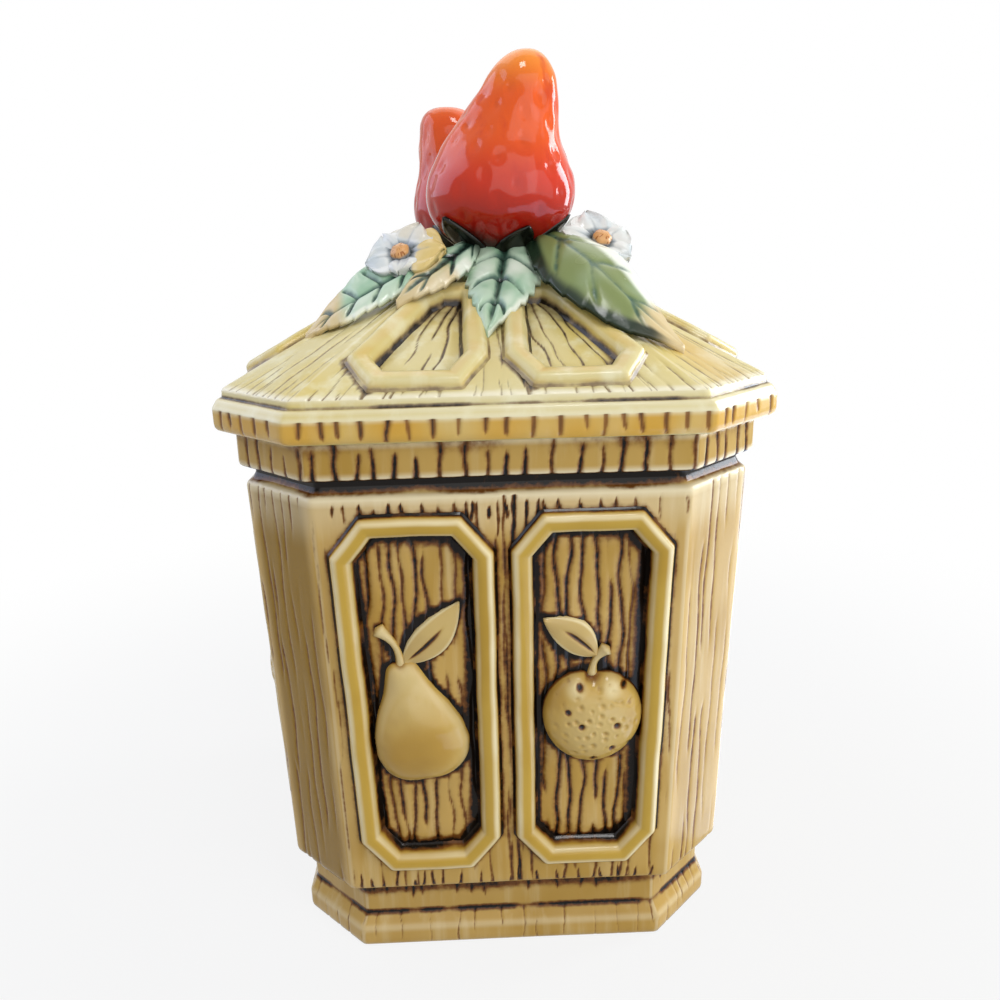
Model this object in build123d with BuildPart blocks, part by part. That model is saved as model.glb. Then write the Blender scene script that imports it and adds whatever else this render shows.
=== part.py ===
"""Octagonal ceramic canister in the style of a small wooden cupboard, with a strawberry lid.

Millimetres, +Z up. The origin is the middle of the plinth's underside, and the front faces -Y.
The tub and the lid are hollow castings. Frames, fruit, leaves, berries and blossoms are moulded
apart and luted on, so each of them is a solid that meets what carries it face to face.
"""

import os
from math import cos, hypot, radians, sin

from build123d import *

# Plan: every tier is the same octagon at another size
corner_share = 0.295

# Tub, from the ground up
plinth_face_height = 6.5
plinth_bevel_height = 4.5
neck_height = 12.0
tub_height = 123.6
groove_height = 4.9
cornice_height = 10.5
tub_bottom_half_width = 67.4
tub_top_half_width = 70.9
neck_setback = 4.7
plinth_overhang = 2.2
groove_depth = 2.5
cornice_overhang = 1.3
wall_thickness = 5.5
floor_thickness = 6.0
foot_recess_depth = 4.0
foot_ring_width = 9.0
shoulder_radius = 2.2
cornice_radius = 1.4
plinth_radius = 1.2

# Lid
brim_height = 8.6
brim_overhang = 4.8
brim_radius = 2.6
drip_height = 2.8
drip_setback = 2.7
roof_rise = 40.6
crown_half_width = 15.0
lid_wall = 6.0
flange_depth = 10.0
flange_wall = 5.0
flange_clearance = 1.5

# Door panels on the tub
panel_depth = 2.0
frame_height = 3.0
frame_bar = 6.0
frame_edge = 1.0
side_frame_height = 1.4
side_frame_edge = 0.6
frame_gap = 4.2
frame_side_margin = 3.9
frame_top_margin = 5.0
frame_bottom_margin = 7.7
frame_cut_width = 8.5
frame_cut_height = 10.5

# Panels on the roof
roof_panel_depth = 1.2
roof_frame_height = 2.6
roof_frame_bar = 6.6
roof_frame_edge = 0.9
roof_frame_gap = 4.4
roof_frame_side_margin = 4.4
roof_frame_low_margin = 3.0
roof_frame_length = 47.5
roof_frame_inner_cut_width = 6.8
roof_frame_outer_cut_width = 13.5
roof_frame_low_cut_height = 12.4
roof_frame_top_cut_width = 3.0
roof_frame_top_cut_height = 6.0

# Fruit sprigs: sizes over the panel, and heights over the tub's lower edge
fruit_relief = 8.0
pear_height = 38.0
pear_width = 27.0
pear_lean = 6.0
pear_foot_height = 38.6
orange_diameter = 28.8
orange_middle_height = 57.0
sprig_relief = 2.6
sprig_root = 2.0
sprig_leaf_width = 9.2
sprig_stem_width = 2.4
pear_stem_length = 13.0
pear_stem_turn = 24.0
pear_leaf_length = 22.0
pear_leaf_turn = -46.0
orange_stem_length = 9.0
orange_stem_turn = -16.0
orange_leaf_length = 19.5
orange_leaf_turn = 69.0

# Berries
berry_front_height = 58.0
berry_front_radius = 22.0
berry_front_x = 3.4
berry_front_y = -15.0
berry_front_shift = 8.4
berry_rear_height = 47.5
berry_rear_radius = 20.0
berry_rear_x = -4.0
berry_rear_y = 20.0
berry_rear_shift = -7.0
berry_depth_share = 0.9
berry_sink = 1.5
calyx_thickness = 1.4
calyx_height = 13.0
calyx_sepals = 7

# Leaves and blossoms
leaf_thickness = 5.0
leaf_root = 5.0
corner_leaf_length = 58.0
corner_leaf_width = 29.0
corner_leaf_foot = 15.5
left_leaf_shortening = 11.5
middle_leaf_length = 46.0
middle_leaf_width = 21.0
middle_leaf_foot = 16.0
small_leaf_length = 36.0
small_leaf_width = 13.0
small_leaf_foot = 32.0
small_leaf_across = -27.0
small_leaf_turn = -40.0
blossom_radius = 11.5
blossom_petals = 5
blossom_rise = 9.0
blossom_root = 15.0
blossom_left_climb = 60.0
blossom_left_across = -2.0
blossom_right_climb = 62.0
blossom_right_across = 15.0

# Shapes: height, radius and sideways shift of a berry, radius and height of a pear, and petals and
# sepals as shares of a radius
berry_shares = [
    (0.0, 0.25, 0.0),
    (0.065, 0.5, 0.0),
    (0.135, 0.76, 0.0),
    (0.22, 0.94, 0.0),
    (0.305, 1.0, 0.0),
    (0.41, 0.97, 0.03),
    (0.565, 0.79, 0.13),
    (0.735, 0.6, 0.5),
    (0.88, 0.41, 0.85),
    (0.95, 0.29, 0.95),
    (0.985, 0.17, 0.99),
    (1.0, 0.05, 1.0),
]
pear_shares = [
    (0.0, 0.0),
    (0.6, 0.03),
    (1.0, 0.25),
    (0.93, 0.44),
    (0.72, 0.63),
    (0.5, 0.79),
    (0.39, 0.92),
    (0.26, 0.98),
    (0.0, 1.0),
]
petal_place_share = 0.58
petal_radius_share = 0.42
sepal_tip_share = 0.95
sepal_notch_share = 0.5

# One overrun serves every cut
overrun = 1.0

# Levels and half widths that follow from the sizes above
neck_level = plinth_face_height + plinth_bevel_height
tub_level = neck_level + neck_height
groove_level = tub_level + tub_height
cornice_level = groove_level + groove_height
rim_level = cornice_level + cornice_height
drip_level = rim_level + brim_height
eave_level = drip_level + drip_height
apex_level = eave_level + roof_rise

neck_half_width = tub_bottom_half_width - neck_setback
plinth_half_width = neck_half_width + plinth_overhang
groove_half_width = tub_top_half_width - groove_depth
cornice_half_width = tub_top_half_width + cornice_overhang
mouth_half_width = groove_half_width - wall_thickness
brim_half_width = cornice_half_width + brim_overhang
eave_half_width = brim_half_width - drip_setback
flange_half_width = mouth_half_width - flange_clearance
hollow_half_width = flange_half_width - flange_wall

flare = tub_top_half_width - tub_bottom_half_width
wall_length = hypot(tub_height, flare)
roof_slope = roof_rise / eave_half_width
slope_length = hypot(eave_half_width, roof_rise)
corner_run = eave_half_width * (2 - corner_share) * cos(radians(45))
crown_level = apex_level - crown_half_width * roof_slope
lid_wall_drop = lid_wall * slope_length / eave_half_width

side_angles = {"front": -90, "right": 0, "back": 90, "left": 180}
corner_angles = {"front_left": -135, "front_right": -45, "back_right": 45, "back_left": 135}
columns = {"left": -1, "right": 1}

os.makedirs("parts", exist_ok=True)


def octagon(level, half_width):
    """Sketch of the plan octagon with the given half width, at one level."""
    flat = half_width * (1 - corner_share)
    with BuildSketch(Plane.XY.offset(level)) as section:
        with BuildLine():
            Polyline(
                (half_width, -flat),
                (half_width, flat),
                (flat, half_width),
                (-flat, half_width),
                (-half_width, flat),
                (-half_width, -flat),
                (-flat, -half_width),
                (flat, -half_width),
                close=True,
            )
        make_face()
    return section.sketch


def wall_plane(angle):
    """Plane of a tub wall: X to the right seen from outside, Y up the wall, Z outward."""
    outward = (cos(radians(angle)), sin(radians(angle)))
    return Plane(
        origin=(tub_bottom_half_width * outward[0], tub_bottom_half_width * outward[1], tub_level),
        x_dir=(-outward[1], outward[0], 0),
        z_dir=(tub_height * outward[0], tub_height * outward[1], -flare),
    )


def roof_plane(angle, run):
    """Plane of a roof slope whose eave lies at a run from the middle: Y climbs to the apex."""
    outward = (cos(radians(angle)), sin(radians(angle)))
    return Plane(
        origin=(run * outward[0], run * outward[1], eave_level),
        x_dir=(-outward[1], outward[0], 0),
        z_dir=(roof_rise * outward[0], roof_rise * outward[1], run),
    )


def place_on(plane, across, climb, turn=0):
    """Plane at a place on another plane, turned anticlockwise in it."""
    return Plane(plane.location * Location((across, climb, 0), (0, 0, turn)))


def door_outline(plane, side, inset):
    """Sketch of a door frame's outline on a wall, inset from its outer edge; side is -1 or 1."""
    foot = frame_bottom_margin
    head = wall_length - frame_top_margin
    near = frame_gap / 2
    far_foot = tub_bottom_half_width * (1 - corner_share) - frame_side_margin
    far_head = tub_top_half_width * (1 - corner_share) - frame_side_margin
    with BuildSketch(plane) as outline:
        with BuildLine():
            Polyline(
                (side * (near + frame_cut_width), foot),
                (side * (far_foot - frame_cut_width), foot),
                (side * far_foot, foot + frame_cut_height),
                (side * far_head, head - frame_cut_height),
                (side * (far_head - frame_cut_width), head),
                (side * (near + frame_cut_width), head),
                (side * near, head - frame_cut_height),
                (side * near, foot + frame_cut_height),
                close=True,
            )
        make_face()
        if inset:
            offset(amount=-inset, kind=Kind.INTERSECTION)
    return outline.sketch


def roof_outline(plane, side, inset):
    """Sketch of a roof frame's outline on a slope, inset from its outer edge; side is -1 or 1."""
    foot = roof_frame_low_margin
    foot_cut = foot + roof_frame_low_cut_height
    head = foot + roof_frame_length
    head_cut = head - roof_frame_top_cut_height
    near = roof_frame_gap / 2

    def far(climb):
        """Distance of the outer edge from the slope's middle line: it runs towards the apex."""
        eave_flat = eave_half_width * (1 - corner_share)
        return (eave_flat - roof_frame_side_margin) * (1 - climb / slope_length)

    with BuildSketch(plane) as outline:
        with BuildLine():
            Polyline(
                (side * (near + roof_frame_inner_cut_width), foot),
                (side * (far(foot) - roof_frame_outer_cut_width), foot),
                (side * far(foot_cut), foot_cut),
                (side * far(head_cut), head_cut),
                (side * (far(head) - roof_frame_top_cut_width), head),
                (side * (near + roof_frame_top_cut_width), head),
                (side * near, head_cut),
                (side * near, foot_cut),
                close=True,
            )
        make_face()
        if inset:
            offset(amount=-inset, kind=Kind.INTERSECTION)
    return outline.sketch


def leaf_outline(plane, length, width):
    """Sketch of a pointed leaf that runs from a plane's origin along its Y axis."""
    with BuildSketch(plane) as outline:
        with BuildLine():
            ThreePointArc((0, 0), (width / 2, length / 2), (0, length))
            ThreePointArc((0, length), (-width / 2, length / 2), (0, 0))
        make_face()
    return outline.sketch


def berry_sections(middle, foot_level, height, radius, shift, skin):
    """Ellipses that a berry is lofted through, each grown by a skin."""
    sections = []
    for level_share, radius_share, shift_share in berry_shares:
        section_middle = (middle[0] + shift * shift_share, middle[1], foot_level + height * level_share)
        with BuildSketch(Plane(origin=section_middle)) as section:
            Ellipse(radius * radius_share + skin, radius * radius_share * berry_depth_share + skin)
        sections.append(section.sketch)
    return sections


def sepal_star(middle, level, radius):
    """Sketch of the star that the sepals form, seen from above."""
    points = []
    for step in range(2 * calyx_sepals):
        reach = radius * (sepal_notch_share if step % 2 else sepal_tip_share)
        turn = radians(step * 180 / calyx_sepals)
        points.append((middle[0] + reach * cos(turn), middle[1] + reach * sin(turn)))
    with BuildSketch(Plane.XY.offset(level)) as star:
        with BuildLine():
            Polyline(*points, close=True)
        make_face()
    return star.sketch


def write_piece(builder, name):
    """Labels a finished piece, writes it to its own file and returns its solid."""
    builder.part.label = name
    export_step(builder.part, f"parts/{name}.step")
    return builder.part


# Cornice of the tub, with rounded edges
with BuildPart() as cornice:
    extrude(octagon(cornice_level, cornice_half_width), amount=cornice_height)
    fillet(cornice.edges().group_by(Axis.Z)[0], cornice_radius)
    fillet(cornice.edges().group_by(Axis.Z)[-1], cornice_radius)

# Plinth that the tub stands on: a straight face with a bevel above it
with BuildPart() as plinth:
    extrude(octagon(0, plinth_half_width), amount=plinth_face_height)
    fillet(plinth.edges().group_by(Axis.Z)[0], plinth_radius)
    loft(
        [octagon(plinth_face_height, plinth_half_width), octagon(neck_level, neck_half_width)],
        ruled=True,
    )

# Tub: flared walls on a neck and a plinth, a groove and a cornice above, and the hollow inside
inner_neck_half_width = neck_half_width - wall_thickness
inner_tub_half_width = tub_bottom_half_width - wall_thickness
inner_floor_level = foot_recess_depth + floor_thickness
inner_tub_level = tub_level + wall_thickness
with BuildPart() as body_shell:
    loft(
        [octagon(tub_level, tub_bottom_half_width), octagon(groove_level, tub_top_half_width)],
        ruled=True,
    )
    fillet(body_shell.edges().group_by(Axis.Z)[-1], shoulder_radius)
    add(plinth.part)
    extrude(octagon(neck_level, neck_half_width), amount=neck_height)
    extrude(octagon(groove_level, groove_half_width), amount=groove_height)
    add(cornice.part)
    extrude(
        octagon(inner_floor_level, inner_neck_half_width),
        amount=tub_level - inner_floor_level,
        mode=Mode.SUBTRACT,
    )
    loft(
        [octagon(tub_level, inner_neck_half_width), octagon(inner_tub_level, inner_tub_half_width)],
        ruled=True,
        mode=Mode.SUBTRACT,
    )
    loft(
        [octagon(inner_tub_level, inner_tub_half_width), octagon(groove_level, mouth_half_width)],
        ruled=True,
        mode=Mode.SUBTRACT,
    )
    extrude(
        octagon(groove_level, mouth_half_width),
        amount=rim_level - groove_level + overrun,
        mode=Mode.SUBTRACT,
    )
    extrude(
        octagon(0, plinth_half_width - foot_ring_width),
        amount=foot_recess_depth,
        mode=Mode.SUBTRACT,
    )
    for angle in side_angles.values():
        for side in columns.values():
            panel = door_outline(wall_plane(angle), side, frame_bar)
            extrude(panel, amount=-panel_depth, mode=Mode.SUBTRACT)
write_piece(body_shell, "body_shell")

# Door frames: flat bars with bevelled edges, laid on the wall round each panel, lower on the side walls
door_bars = {
    "front": (frame_height, frame_edge),
    "right": (side_frame_height, side_frame_edge),
    "back": (frame_height, frame_edge),
    "left": (side_frame_height, side_frame_edge),
}
for side_name, angle in side_angles.items():
    wall = wall_plane(angle)
    bar_height, bar_edge = door_bars[side_name]
    for column_name, side in columns.items():
        with BuildPart() as frame:
            extrude(door_outline(wall, side, 0), amount=bar_height)
            extrude(door_outline(wall, side, frame_bar), amount=bar_height, mode=Mode.SUBTRACT)
            chamfer(frame.faces().sort_by(Axis(wall.origin, wall.z_dir))[-1].edges(), bar_edge)
        write_piece(frame, f"frame_{side_name}_{column_name}")

# Pear sprig: half a pear that lies on the panel, with a stem and a leaf
with BuildPart() as pear_sprig:
    with BuildSketch():
        with BuildLine():
            pear_points = [(pear_width / 2 * r, pear_height * h) for r, h in pear_shares]
            Spline(pear_points, tangents=[(1, 0), (-1, 0)])
            Line(pear_points[-1], pear_points[0])
        make_face()
    revolve(axis=Axis((0, 0, 0), (0, -1, 0)), revolution_arc=180)
    scale(by=(1, 1, fruit_relief / (pear_width / 2)))
    with BuildSketch(place_on(Plane.XY, 0, pear_height - sprig_root, pear_stem_turn)):
        Rectangle(sprig_stem_width, pear_stem_length, align=(Align.CENTER, Align.MIN))
    extrude(amount=sprig_relief)
    pear_leaf_plane = place_on(Plane.XY, 0, pear_height - sprig_root, pear_leaf_turn)
    extrude(leaf_outline(pear_leaf_plane, pear_leaf_length, sprig_leaf_width), amount=sprig_relief)

# Orange sprig: a low dome with a stem and a leaf
with BuildPart() as orange_sprig:
    with BuildSketch(Plane.XZ):
        with BuildLine():
            dome_radius = ((orange_diameter / 2) ** 2 + fruit_relief**2) / (2 * fruit_relief)
            RadiusArc((0, fruit_relief), (orange_diameter / 2, 0), dome_radius)
            Polyline((orange_diameter / 2, 0), (0, 0), (0, fruit_relief))
        make_face()
    revolve(axis=Axis.Z)
    orange_stem_plane = place_on(Plane.XY, 0, orange_diameter / 2 - sprig_root, orange_stem_turn)
    with BuildSketch(orange_stem_plane):
        Rectangle(sprig_stem_width, orange_stem_length, align=(Align.CENTER, Align.MIN))
    extrude(amount=sprig_relief)
    leaf_place = place_on(orange_stem_plane, 0, orange_stem_length - sprig_root, orange_leaf_turn)
    extrude(leaf_outline(leaf_place, orange_leaf_length, sprig_leaf_width), amount=sprig_relief)

# The sprigs stand in the middle of their panels: pears on the left, oranges on the right
far_middle = (tub_bottom_half_width + tub_top_half_width) / 2 * (1 - corner_share) - frame_side_margin
column_middle = (frame_gap / 2 + far_middle) / 2
for side_name, angle in side_angles.items():
    panel_plane = wall_plane(angle).offset(-panel_depth)
    with BuildPart(place_on(panel_plane, -column_middle, pear_foot_height, pear_lean)) as pear:
        add(pear_sprig.part)
    write_piece(pear, f"pear_{side_name}")
    with BuildPart(place_on(panel_plane, column_middle, orange_middle_height)) as orange:
        add(orange_sprig.part)
    write_piece(orange, f"orange_{side_name}")

# Lid: brim, drip step and hipped roof, hollow below, with a flange that finds the mouth
hollow_level = apex_level - lid_wall_drop - hollow_half_width * roof_slope
with BuildPart() as lid_shell:
    extrude(octagon(rim_level, brim_half_width), amount=brim_height)
    fillet(lid_shell.edges().group_by(Axis.Z)[0], brim_radius)
    fillet(lid_shell.edges().group_by(Axis.Z)[-1], brim_radius)
    extrude(octagon(drip_level, eave_half_width), amount=drip_height)
    loft(
        [octagon(eave_level, eave_half_width), octagon(crown_level, crown_half_width)],
        ruled=True,
    )
    extrude(octagon(rim_level, flange_half_width), amount=-flange_depth)
    extrude(
        octagon(rim_level - flange_depth, hollow_half_width),
        amount=hollow_level - rim_level + flange_depth,
        mode=Mode.SUBTRACT,
    )
    loft(
        [
            octagon(hollow_level, hollow_half_width),
            octagon(crown_level - lid_wall_drop, crown_half_width),
        ],
        ruled=True,
        mode=Mode.SUBTRACT,
    )
    for angle in side_angles.values():
        for side in columns.values():
            panel = roof_outline(roof_plane(angle, eave_half_width), side, roof_frame_bar)
            extrude(panel, amount=-roof_panel_depth, mode=Mode.SUBTRACT)
write_piece(lid_shell, "lid_shell")

# The roof's bulk, which pieces that lie on the roof are cut by
with BuildPart() as roof_block:
    loft(
        [octagon(eave_level, eave_half_width), octagon(crown_level, crown_half_width)],
        ruled=True,
    )

# Roof frames, two to a slope
roof_frames = {}
for side_name, angle in side_angles.items():
    slope = roof_plane(angle, eave_half_width)
    for column_name, side in columns.items():
        with BuildPart() as frame:
            extrude(roof_outline(slope, side, 0), amount=roof_frame_height)
            extrude(
                roof_outline(slope, side, roof_frame_bar),
                amount=roof_frame_height,
                mode=Mode.SUBTRACT,
            )
            chamfer(frame.faces().sort_by(Axis(slope.origin, slope.z_dir))[-1].edges(), roof_frame_edge)
        frame_name = f"{side_name}_{column_name}"
        roof_frames[frame_name] = write_piece(frame, f"roof_frame_{frame_name}")

# Leaves: slabs pressed down on the roof, so each fills the space over the frames that it covers
covered_frames = {
    "front_left": ("front_left", "left_right"),
    "front_right": ("front_right", "right_left"),
    "back_right": ("right_right", "back_left"),
    "back_left": ("back_right", "left_left"),
    "front": ("front_left", "front_right"),
    "back": ("back_left", "back_right"),
    "small": ("front_left",),
}
covered_leaves = {"small": ("front_left", "front")}
leaf_places = {}
for corner_name, angle in corner_angles.items():
    shortening = left_leaf_shortening if corner_name == "front_left" else 0
    corner_plane = roof_plane(angle, corner_run)
    leaf_places[corner_name] = (
        place_on(corner_plane, 0, corner_leaf_foot + shortening),
        corner_leaf_length - shortening,
        corner_leaf_width,
    )
for side_name in ("front", "back"):
    slope = roof_plane(side_angles[side_name], eave_half_width)
    leaf_places[side_name] = (
        place_on(slope, 0, middle_leaf_foot),
        middle_leaf_length,
        middle_leaf_width,
    )
leaf_places["small"] = (
    place_on(
        roof_plane(side_angles["front"], eave_half_width),
        small_leaf_across,
        small_leaf_foot,
        small_leaf_turn,
    ),
    small_leaf_length,
    small_leaf_width,
)
leaves = {}
for leaf_name, (plane, length, width) in leaf_places.items():
    with BuildPart() as leaf:
        extrude(leaf_outline(plane.offset(-leaf_root), length, width), amount=leaf_root + leaf_thickness)
        add(roof_block.part, mode=Mode.SUBTRACT)
        add([roof_frames[name] for name in covered_frames[leaf_name]], mode=Mode.SUBTRACT)
        for name in covered_leaves.get(leaf_name, ()):
            add(leaves[name], mode=Mode.SUBTRACT)
    leaves[leaf_name] = write_piece(leaf, f"leaf_{leaf_name}")

# Berries on the crown of the roof, the rear one pressed against the front one
berry_foot_level = crown_level - berry_sink
berry_places = {
    "front": ((berry_front_x, berry_front_y), berry_front_height, berry_front_radius, berry_front_shift),
    "rear": ((berry_rear_x, berry_rear_y), berry_rear_height, berry_rear_radius, berry_rear_shift),
}
berries = []
for berry_name, (middle, height, radius, shift) in berry_places.items():
    with BuildPart() as berry:
        loft(berry_sections(middle, berry_foot_level, height, radius, shift, 0))
        add([roof_block.part, *leaves.values(), *berries], mode=Mode.SUBTRACT)
    berries.append(write_piece(berry, f"strawberry_{berry_name}"))

# Sepals that hug the foot of each berry
calyxes = []
for berry_name, (middle, height, radius, shift) in berry_places.items():
    with BuildPart() as calyx:
        loft(berry_sections(middle, berry_foot_level, height, radius, shift, calyx_thickness))
        star = sepal_star(middle, berry_foot_level, radius)
        extrude(star, amount=calyx_height, mode=Mode.INTERSECT)
        add([roof_block.part, *leaves.values(), *berries, *calyxes], mode=Mode.SUBTRACT)
    calyxes.append(write_piece(calyx, f"calyx_{berry_name}"))

# Blossoms on the front corners, with their roots pressed in among the leaves
blossom_places = {
    "left": ("front_left", ("front_left", "small"), blossom_left_across, blossom_left_climb),
    "right": ("front_right", ("front_right",), blossom_right_across, blossom_right_climb),
}
for blossom_name, (corner_name, under_leaves, across, climb) in blossom_places.items():
    corner_plane = roof_plane(corner_angles[corner_name], corner_run).offset(blossom_rise)
    with BuildPart() as blossom:
        with BuildSketch(place_on(corner_plane, across, climb)):
            with PolarLocations(blossom_radius * petal_place_share, blossom_petals):
                Circle(blossom_radius * petal_radius_share)
            Circle(blossom_radius * petal_place_share)
        extrude(amount=-blossom_root)
        add(roof_block.part, mode=Mode.SUBTRACT)
        add([roof_frames[name] for name in covered_frames[corner_name]], mode=Mode.SUBTRACT)
        add([leaves[name] for name in under_leaves], mode=Mode.SUBTRACT)
    write_piece(blossom, f"blossom_{blossom_name}")
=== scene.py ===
"""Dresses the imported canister: glazed earthenware, cast and stained like a small wooden cupboard.

Sizes are millimetres with +Z up and the front towards -Y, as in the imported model. Meshes are metres.
"""

import logging
import math
from dataclasses import dataclass
from enum import Enum
from functools import cached_property

import bmesh
import bpy
import numpy as np
from mathutils import Matrix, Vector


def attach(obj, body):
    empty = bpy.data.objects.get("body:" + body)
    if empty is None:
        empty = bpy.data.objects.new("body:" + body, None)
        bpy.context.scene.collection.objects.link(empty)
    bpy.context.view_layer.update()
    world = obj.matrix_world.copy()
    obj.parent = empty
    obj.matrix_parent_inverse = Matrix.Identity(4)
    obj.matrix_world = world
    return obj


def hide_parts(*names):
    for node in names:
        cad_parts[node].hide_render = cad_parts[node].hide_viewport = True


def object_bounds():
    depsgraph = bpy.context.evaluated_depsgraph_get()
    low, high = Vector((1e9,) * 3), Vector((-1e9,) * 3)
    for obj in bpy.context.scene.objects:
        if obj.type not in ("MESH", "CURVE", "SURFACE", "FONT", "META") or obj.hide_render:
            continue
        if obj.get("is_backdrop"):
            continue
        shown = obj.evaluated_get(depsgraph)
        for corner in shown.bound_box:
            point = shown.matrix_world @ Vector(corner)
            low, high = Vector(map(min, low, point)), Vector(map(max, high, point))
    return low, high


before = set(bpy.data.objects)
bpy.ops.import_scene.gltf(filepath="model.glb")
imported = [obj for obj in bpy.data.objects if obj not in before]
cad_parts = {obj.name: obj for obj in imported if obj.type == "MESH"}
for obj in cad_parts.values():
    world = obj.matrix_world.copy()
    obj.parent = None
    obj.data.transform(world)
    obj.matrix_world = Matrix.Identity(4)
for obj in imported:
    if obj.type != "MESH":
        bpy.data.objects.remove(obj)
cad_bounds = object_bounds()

Array = np.ndarray
Generator = np.random.Generator

LOG = logging.getLogger("canister")
MM = 0.001
GLAZE_IOR = 1.5
FULL_TURN = 2.0 * math.pi
GOLDEN_TURN = math.pi * (3.0 - math.sqrt(5.0))
UPWARD = np.array([0.0, 0.0, 1.0])
LEAST_RADIUS = 0.05
TINY = 1e-9
FAR = 1e9

# Sockets of a colour mix node
MIX_FACTOR = 0
MIX_A = 6
MIX_B = 7
MIX_RESULT = 2

# Sides of the octagon in the order of its columns, with the corner facets at the odd places
SIDES = ("back", "back_left", "left", "front_left", "front", "front_right", "right", "back_right")
WALLS = {"front": -90.0, "right": 0.0, "back": 90.0, "left": 180.0}
COLUMNS = {"left": -1, "right": 1}

# Seeds of the unevenness of each sub-assembly
SEEDS = {"tub": 11, "doors": 23, "sprigs": 31, "lid": 43}
SEEDS |= {"roof": 53, "berries": 61, "foliage": 71, "blossoms": 83}


class Body(Enum):
    """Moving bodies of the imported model."""

    CANISTER = "canister"
    LID = "lid"


class Zone(Enum):
    """Stretches of a shell's profile that are dressed differently."""

    FOOT = 0
    PLINTH = 1
    BEVEL = 2
    NECK = 3
    LEDGE = 4
    WALL = 5
    GROOVE = 6
    CORNICE = 7
    RIM = 8
    INSIDE = 9
    FLANGE = 10
    BRIM = 11
    DRIP = 12
    ROOF = 13
    CROWN = 14


class Anchor(Enum):
    """End of a band that its short ticks start from."""

    TOP = 1
    BOTTOM = 2
    BOTH = 3


def soft_step(low: float, high: float, value: Array) -> Array:
    """Smooth step from 0 at the low value to 1 at the high one; it falls where low is the greater."""
    share = np.clip((value - low) / (high - low), 0.0, 1.0)
    return share * share * (3.0 - 2.0 * share)


def bell(*values: Array) -> Array:
    """Bell of height 1 over values that are given in widths of the bell."""
    return np.exp(-sum(value**2 for value in values))


def over(first: Array, second: Array) -> Array:
    """Two stains laid over each other, each from 0 to 1."""
    return 1.0 - (1.0 - first) * (1.0 - second)


def unit(vectors: Array) -> Array:
    """The same vectors with a length of 1."""
    return vectors / np.linalg.norm(vectors, axis=-1, keepdims=True)


def points_of(x: Array, y: Array, z: Array) -> Array:
    """Points from their coordinates, spread to one shape."""
    return np.stack(np.broadcast_arrays(x, y, z), axis=-1)


def even_turns(count: int) -> Array:
    """Even steps round a circle."""
    return np.linspace(0.0, FULL_TURN, count, endpoint=False)


def rounded(start: Array, corner: Array, end: Array, count: int) -> Array:
    """Points of the curve that leaves a start towards a corner and comes from there to an end."""
    share = np.linspace(0.0, 1.0, count)[:, None]
    return (1.0 - share) ** 2 * start + share**2 * end + 2.0 * share * (1.0 - share) * corner


def bend_between(way_in: Array, way_out: Array) -> float:
    """Angle between two directions."""
    return math.acos(float(np.clip(way_in @ way_out, -1.0, 1.0)))


def curve(knots: Array, share: Array) -> Array:
    """Smooth curve through evenly spaced knots.

    Args:
        knots: Values that it passes through.
        share: Places along it from 0 to 1.

    Returns:
        The value at each place.
    """
    knots = np.asarray(knots, float)
    place = np.clip(share, 0.0, 1.0) * (len(knots) - 1.0)
    left = np.clip(np.floor(place).astype(int), 0, len(knots) - 2)
    step = place - left
    padded = np.concatenate([[2.0 * knots[0] - knots[1]], knots, [2.0 * knots[-1] - knots[-2]]])
    a, b, c, d = (padded[left + part] for part in range(4))
    straight = 2.0 * b + (c - a) * step
    bent = (2.0 * a - 5.0 * b + 4.0 * c - d) * step**2 + (3.0 * b - a - 3.0 * c + d) * step**3
    return 0.5 * (straight + bent)


def srgb(code: str) -> tuple[float, float, float, float]:
    """Linear light of an sRGB colour.

    Args:
        code: Hash sign and six hex digits.

    Returns:
        Red, green and blue, with an alpha of 1.
    """
    channels = [int(code[start : start + 2], 16) / 255.0 for start in (1, 3, 5)]
    linear = [c / 12.92 if c <= 0.04045 else ((c + 0.055) / 1.055) ** 2.4 for c in channels]
    return (linear[0], linear[1], linear[2], 1.0)


class Wobble:
    """Smooth seeded unevenness along a line, between about -1 and 1."""

    def __init__(self, rng: Generator, wavelength: float) -> None:
        """Draws the phases of the waves.

        Args:
            rng: Source of the phases.
            wavelength: Length of the longest wave.
        """
        self.lengths = wavelength * np.array([1.0, 0.57, 0.31])
        self.sizes = np.array([0.6, 0.32, 0.2])
        self.phases = rng.uniform(0.0, FULL_TURN, 3)

    def at(self, place: Array) -> Array:
        """Unevenness at each place along the line."""
        turns = FULL_TURN * np.asarray(place, float)[..., None] / self.lengths + self.phases
        return (self.sizes * np.sin(turns)).sum(axis=-1)


class Mottle:
    """Smooth seeded unevenness over a plane, between about -1 and 1."""

    waves = 7

    def __init__(self, rng: Generator, wavelength: float) -> None:
        """Draws the directions, lengths and phases of the waves.

        Args:
            rng: Source of the draws.
            wavelength: About the length of a wave.
        """
        self.turns = rng.uniform(0.0, math.pi, self.waves)
        self.lengths = wavelength * rng.uniform(0.6, 1.7, self.waves)
        self.phases = rng.uniform(0.0, FULL_TURN, self.waves)

    def at(self, across: Array, along: Array) -> Array:
        """Unevenness at each place on the plane.

        Args:
            across: Distance across the plane.
            along: Distance along it.

        Returns:
            The unevenness.
        """
        total = np.zeros(np.broadcast(across, along).shape)
        for turn, length, phase in zip(self.turns, self.lengths, self.phases):
            run = across * math.cos(turn) + along * math.sin(turn)
            total = total + np.sin(FULL_TURN * run / length + phase)
        return total / math.sqrt(2.0 * self.waves)


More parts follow.
